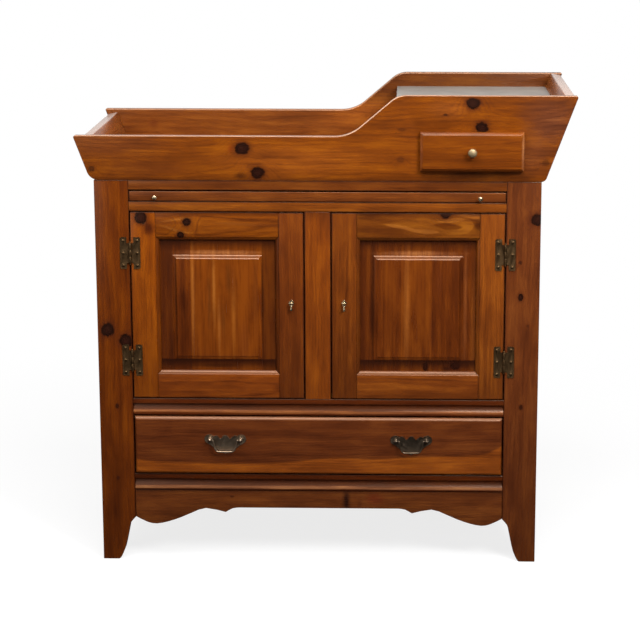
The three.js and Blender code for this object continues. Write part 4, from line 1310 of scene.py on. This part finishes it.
def left_door() -> Door:
    """The left door, with its knots at the top and a panel of four staves."""
    flame = Band.between(
        (-425, -400, -370, -345, -300, -210, -104),
        (868, 860, 850, 843, 841, 845, 848), (860, 868, 875, 880, 884, 886, 880),
        "#85420c", 0.55, 2.2,
    )
    upper_line = Band.between((-425, -385, -350, -310), (866, 869, 874, 880), (862, 873, 879, 878), "#98571e", 0.5, 1.2)
    lower_line = Band.between((-425, -385, -350, -310), (868, 852, 841, 842), (862, 857, 846, 840), "#98571e", 0.5, 1.2)
    lines = Band.between((-285, -240, -180, -104), (866, 862, 859, 857), (864, 868, 866, 863), "#6b3310", 0.6, 1.4)
    return Door(
        "left", "#813c06", "#6c310c", "#763706", "#76360b", "#632a06", 101,
        hinge_knots=((878, -450, 14.5, 1.05),),
        rail_knots=((-338, 868, 11, 1.0), (-354, 836, 8.5, 1.1)),
        rail_bands=(flame, upper_line, lower_line, lines),
        hinge_blotches=((866, -443, 5, 6, "#7a5a40", 0.7), (852, -430, 18, 17, "#471a06", 0.95)),
        panel_staves=((-331, 0.3), (-281, 0.24), (-217, 0.3)),
        panel_blotches=(
            (680, -326, 170, 5, "#8a4a1a", 0.6), (700, -274, 110, 5, "#8f4f1c", 0.5),
            (600, -262, 90, 4, "#8a4a1a", 0.5), (670, -286, 90, 5, "#52250a", 0.7),
            (730, -238, 50, 6, "#552709", 0.7), (620, -252, 46, 6, "#5c2b0b", 0.6),
            (640, -226, 120, 6, "#8c4b17", 0.4), (560, -200, 60, 14, "#60290c", 0.5),
            # (675, -154.5) and (675, -367.5) are painted shadows along the raised field's right and left edges; (791,
            # -262) is a painted highlight along its top edge.
            (700, -172, 120, 7, "#5a270a", 0.6), (675, -154.5, 160, 3, "#2e1102", 0.7),
            (675, -367.5, 160, 3.5, "#2a0e02", 0.7), (791, -262, 7, 108, "#a8663c", 0.4),
            (505, -270, 5, 60, "#1d0a05", 0.5),
        ),
        panel_span=(-415, -114.2),
    )


def right_door() -> Door:
    """The right door, with a pale flame in its top rail and a panel of three staves."""
    flame = Band(
        ((118, 876), (150, 861), (190, 852), (230, 845), (290, 839), (325, 840), (345, 843), (356, 852), (366, 872)),
        ((118, 858), (150, 867), (190, 875), (230, 880), (300, 879), (325, 881), (345, 880), (356, 874), (366, 862)),
        "#82450f", 0.85, 1.5,
    )
    upper_line = Band.between(
        (262, 285, 310, 333, 345), (876, 870, 870, 876, 882), (866, 876, 881, 882, 872),
        "#8c4e19", 0.75, 1.4,
    )
    lower_line = Band.between(
        (138, 165, 190, 225, 262, 285), (868, 857, 853, 843, 841, 848), (862, 865, 861, 852, 850, 842),
        "#96551c", 0.85, 1.4,
    )
    heart = Band.between((255, 280, 310, 340), (872, 856, 851, 862), (862, 868, 867, 856), "#5a2807", 0.9, 2.0)
    corner = Band.between((310, 335, 352, 390), (891, 886, 882, 870), (887, 892, 892, 884), "#8d4d18", 0.8, 1.6)
    return Door(
        "right", "#7d3d0e", "#6f340b", "#6e360b", "#6f340c", "#602907", 111,
        rail_knots=((294, 892, 12, 1.1),),
        rail_bands=(flame, upper_line, lower_line, heart, corner),
        rail_blotches=(
            (346, 855, 7, 13, "#7e4213", 0.7), (322, 848, 26, 5, "#733a10", 0.6),
            (114, 887, 60, 13, "#4a1f07", 0.95), (373, 861, 13, 18, "#471e06", 0.95),
            (120, 848, 60, 9, "#66300d", 0.5),
        ),
        panel_knots=((505, 247, 6, 1.9, 0.9), (508, 320, 12, 1.0, 0.9)),
        panel_staves=((186, 0.26), (261, 0.02)),
        panel_blotches=(
            (500, 300, 7, 16, "#2a1009", 0.8), (650, 200, 170, 8, "#8a4a1c", 0.4),
            (600, 365, 200, 10, "#7a3e12", 0.6), (560, 340, 60, 12, "#713610", 0.5),
            (720, 280, 40, 9, "#54230c", 0.6), (600, 262, 50, 6, "#54230c", 0.4),
            # (675, 116) and (675, 330.5) are painted shadows along the raised field's left and right edges, (675, 344)
            # painted light on the bevel beside the right one, and (791, 228) a painted highlight along the field's top
            # edge.
            (675, 116, 170, 6, "#2a0f05", 0.7), (675, 330.5, 160, 3, "#3a1402", 0.7),
            (675, 344, 160, 5, "#8d4c22", 0.5), (791, 228, 7, 112, "#a8663c", 0.4),
        ),
        bevel_dark=(0.22, 0.1),
        panel_span=(77, 377.8),
    )


def main() -> None:
    """Builds the cabinet's sub-assemblies in order, then the studio."""
    logging.basicConfig(level=logging.INFO, format="%(message)s")
    doors = (left_door(), right_door())
    for part in (FrontFrame(), Carcass(), Trough(), *doors, PullOutBoard(), WideDrawer(), SmallDrawer(), Studio()):
        log.info("%s", type(part).__name__)
        part.build()


if __name__ == "__main__":
    main()
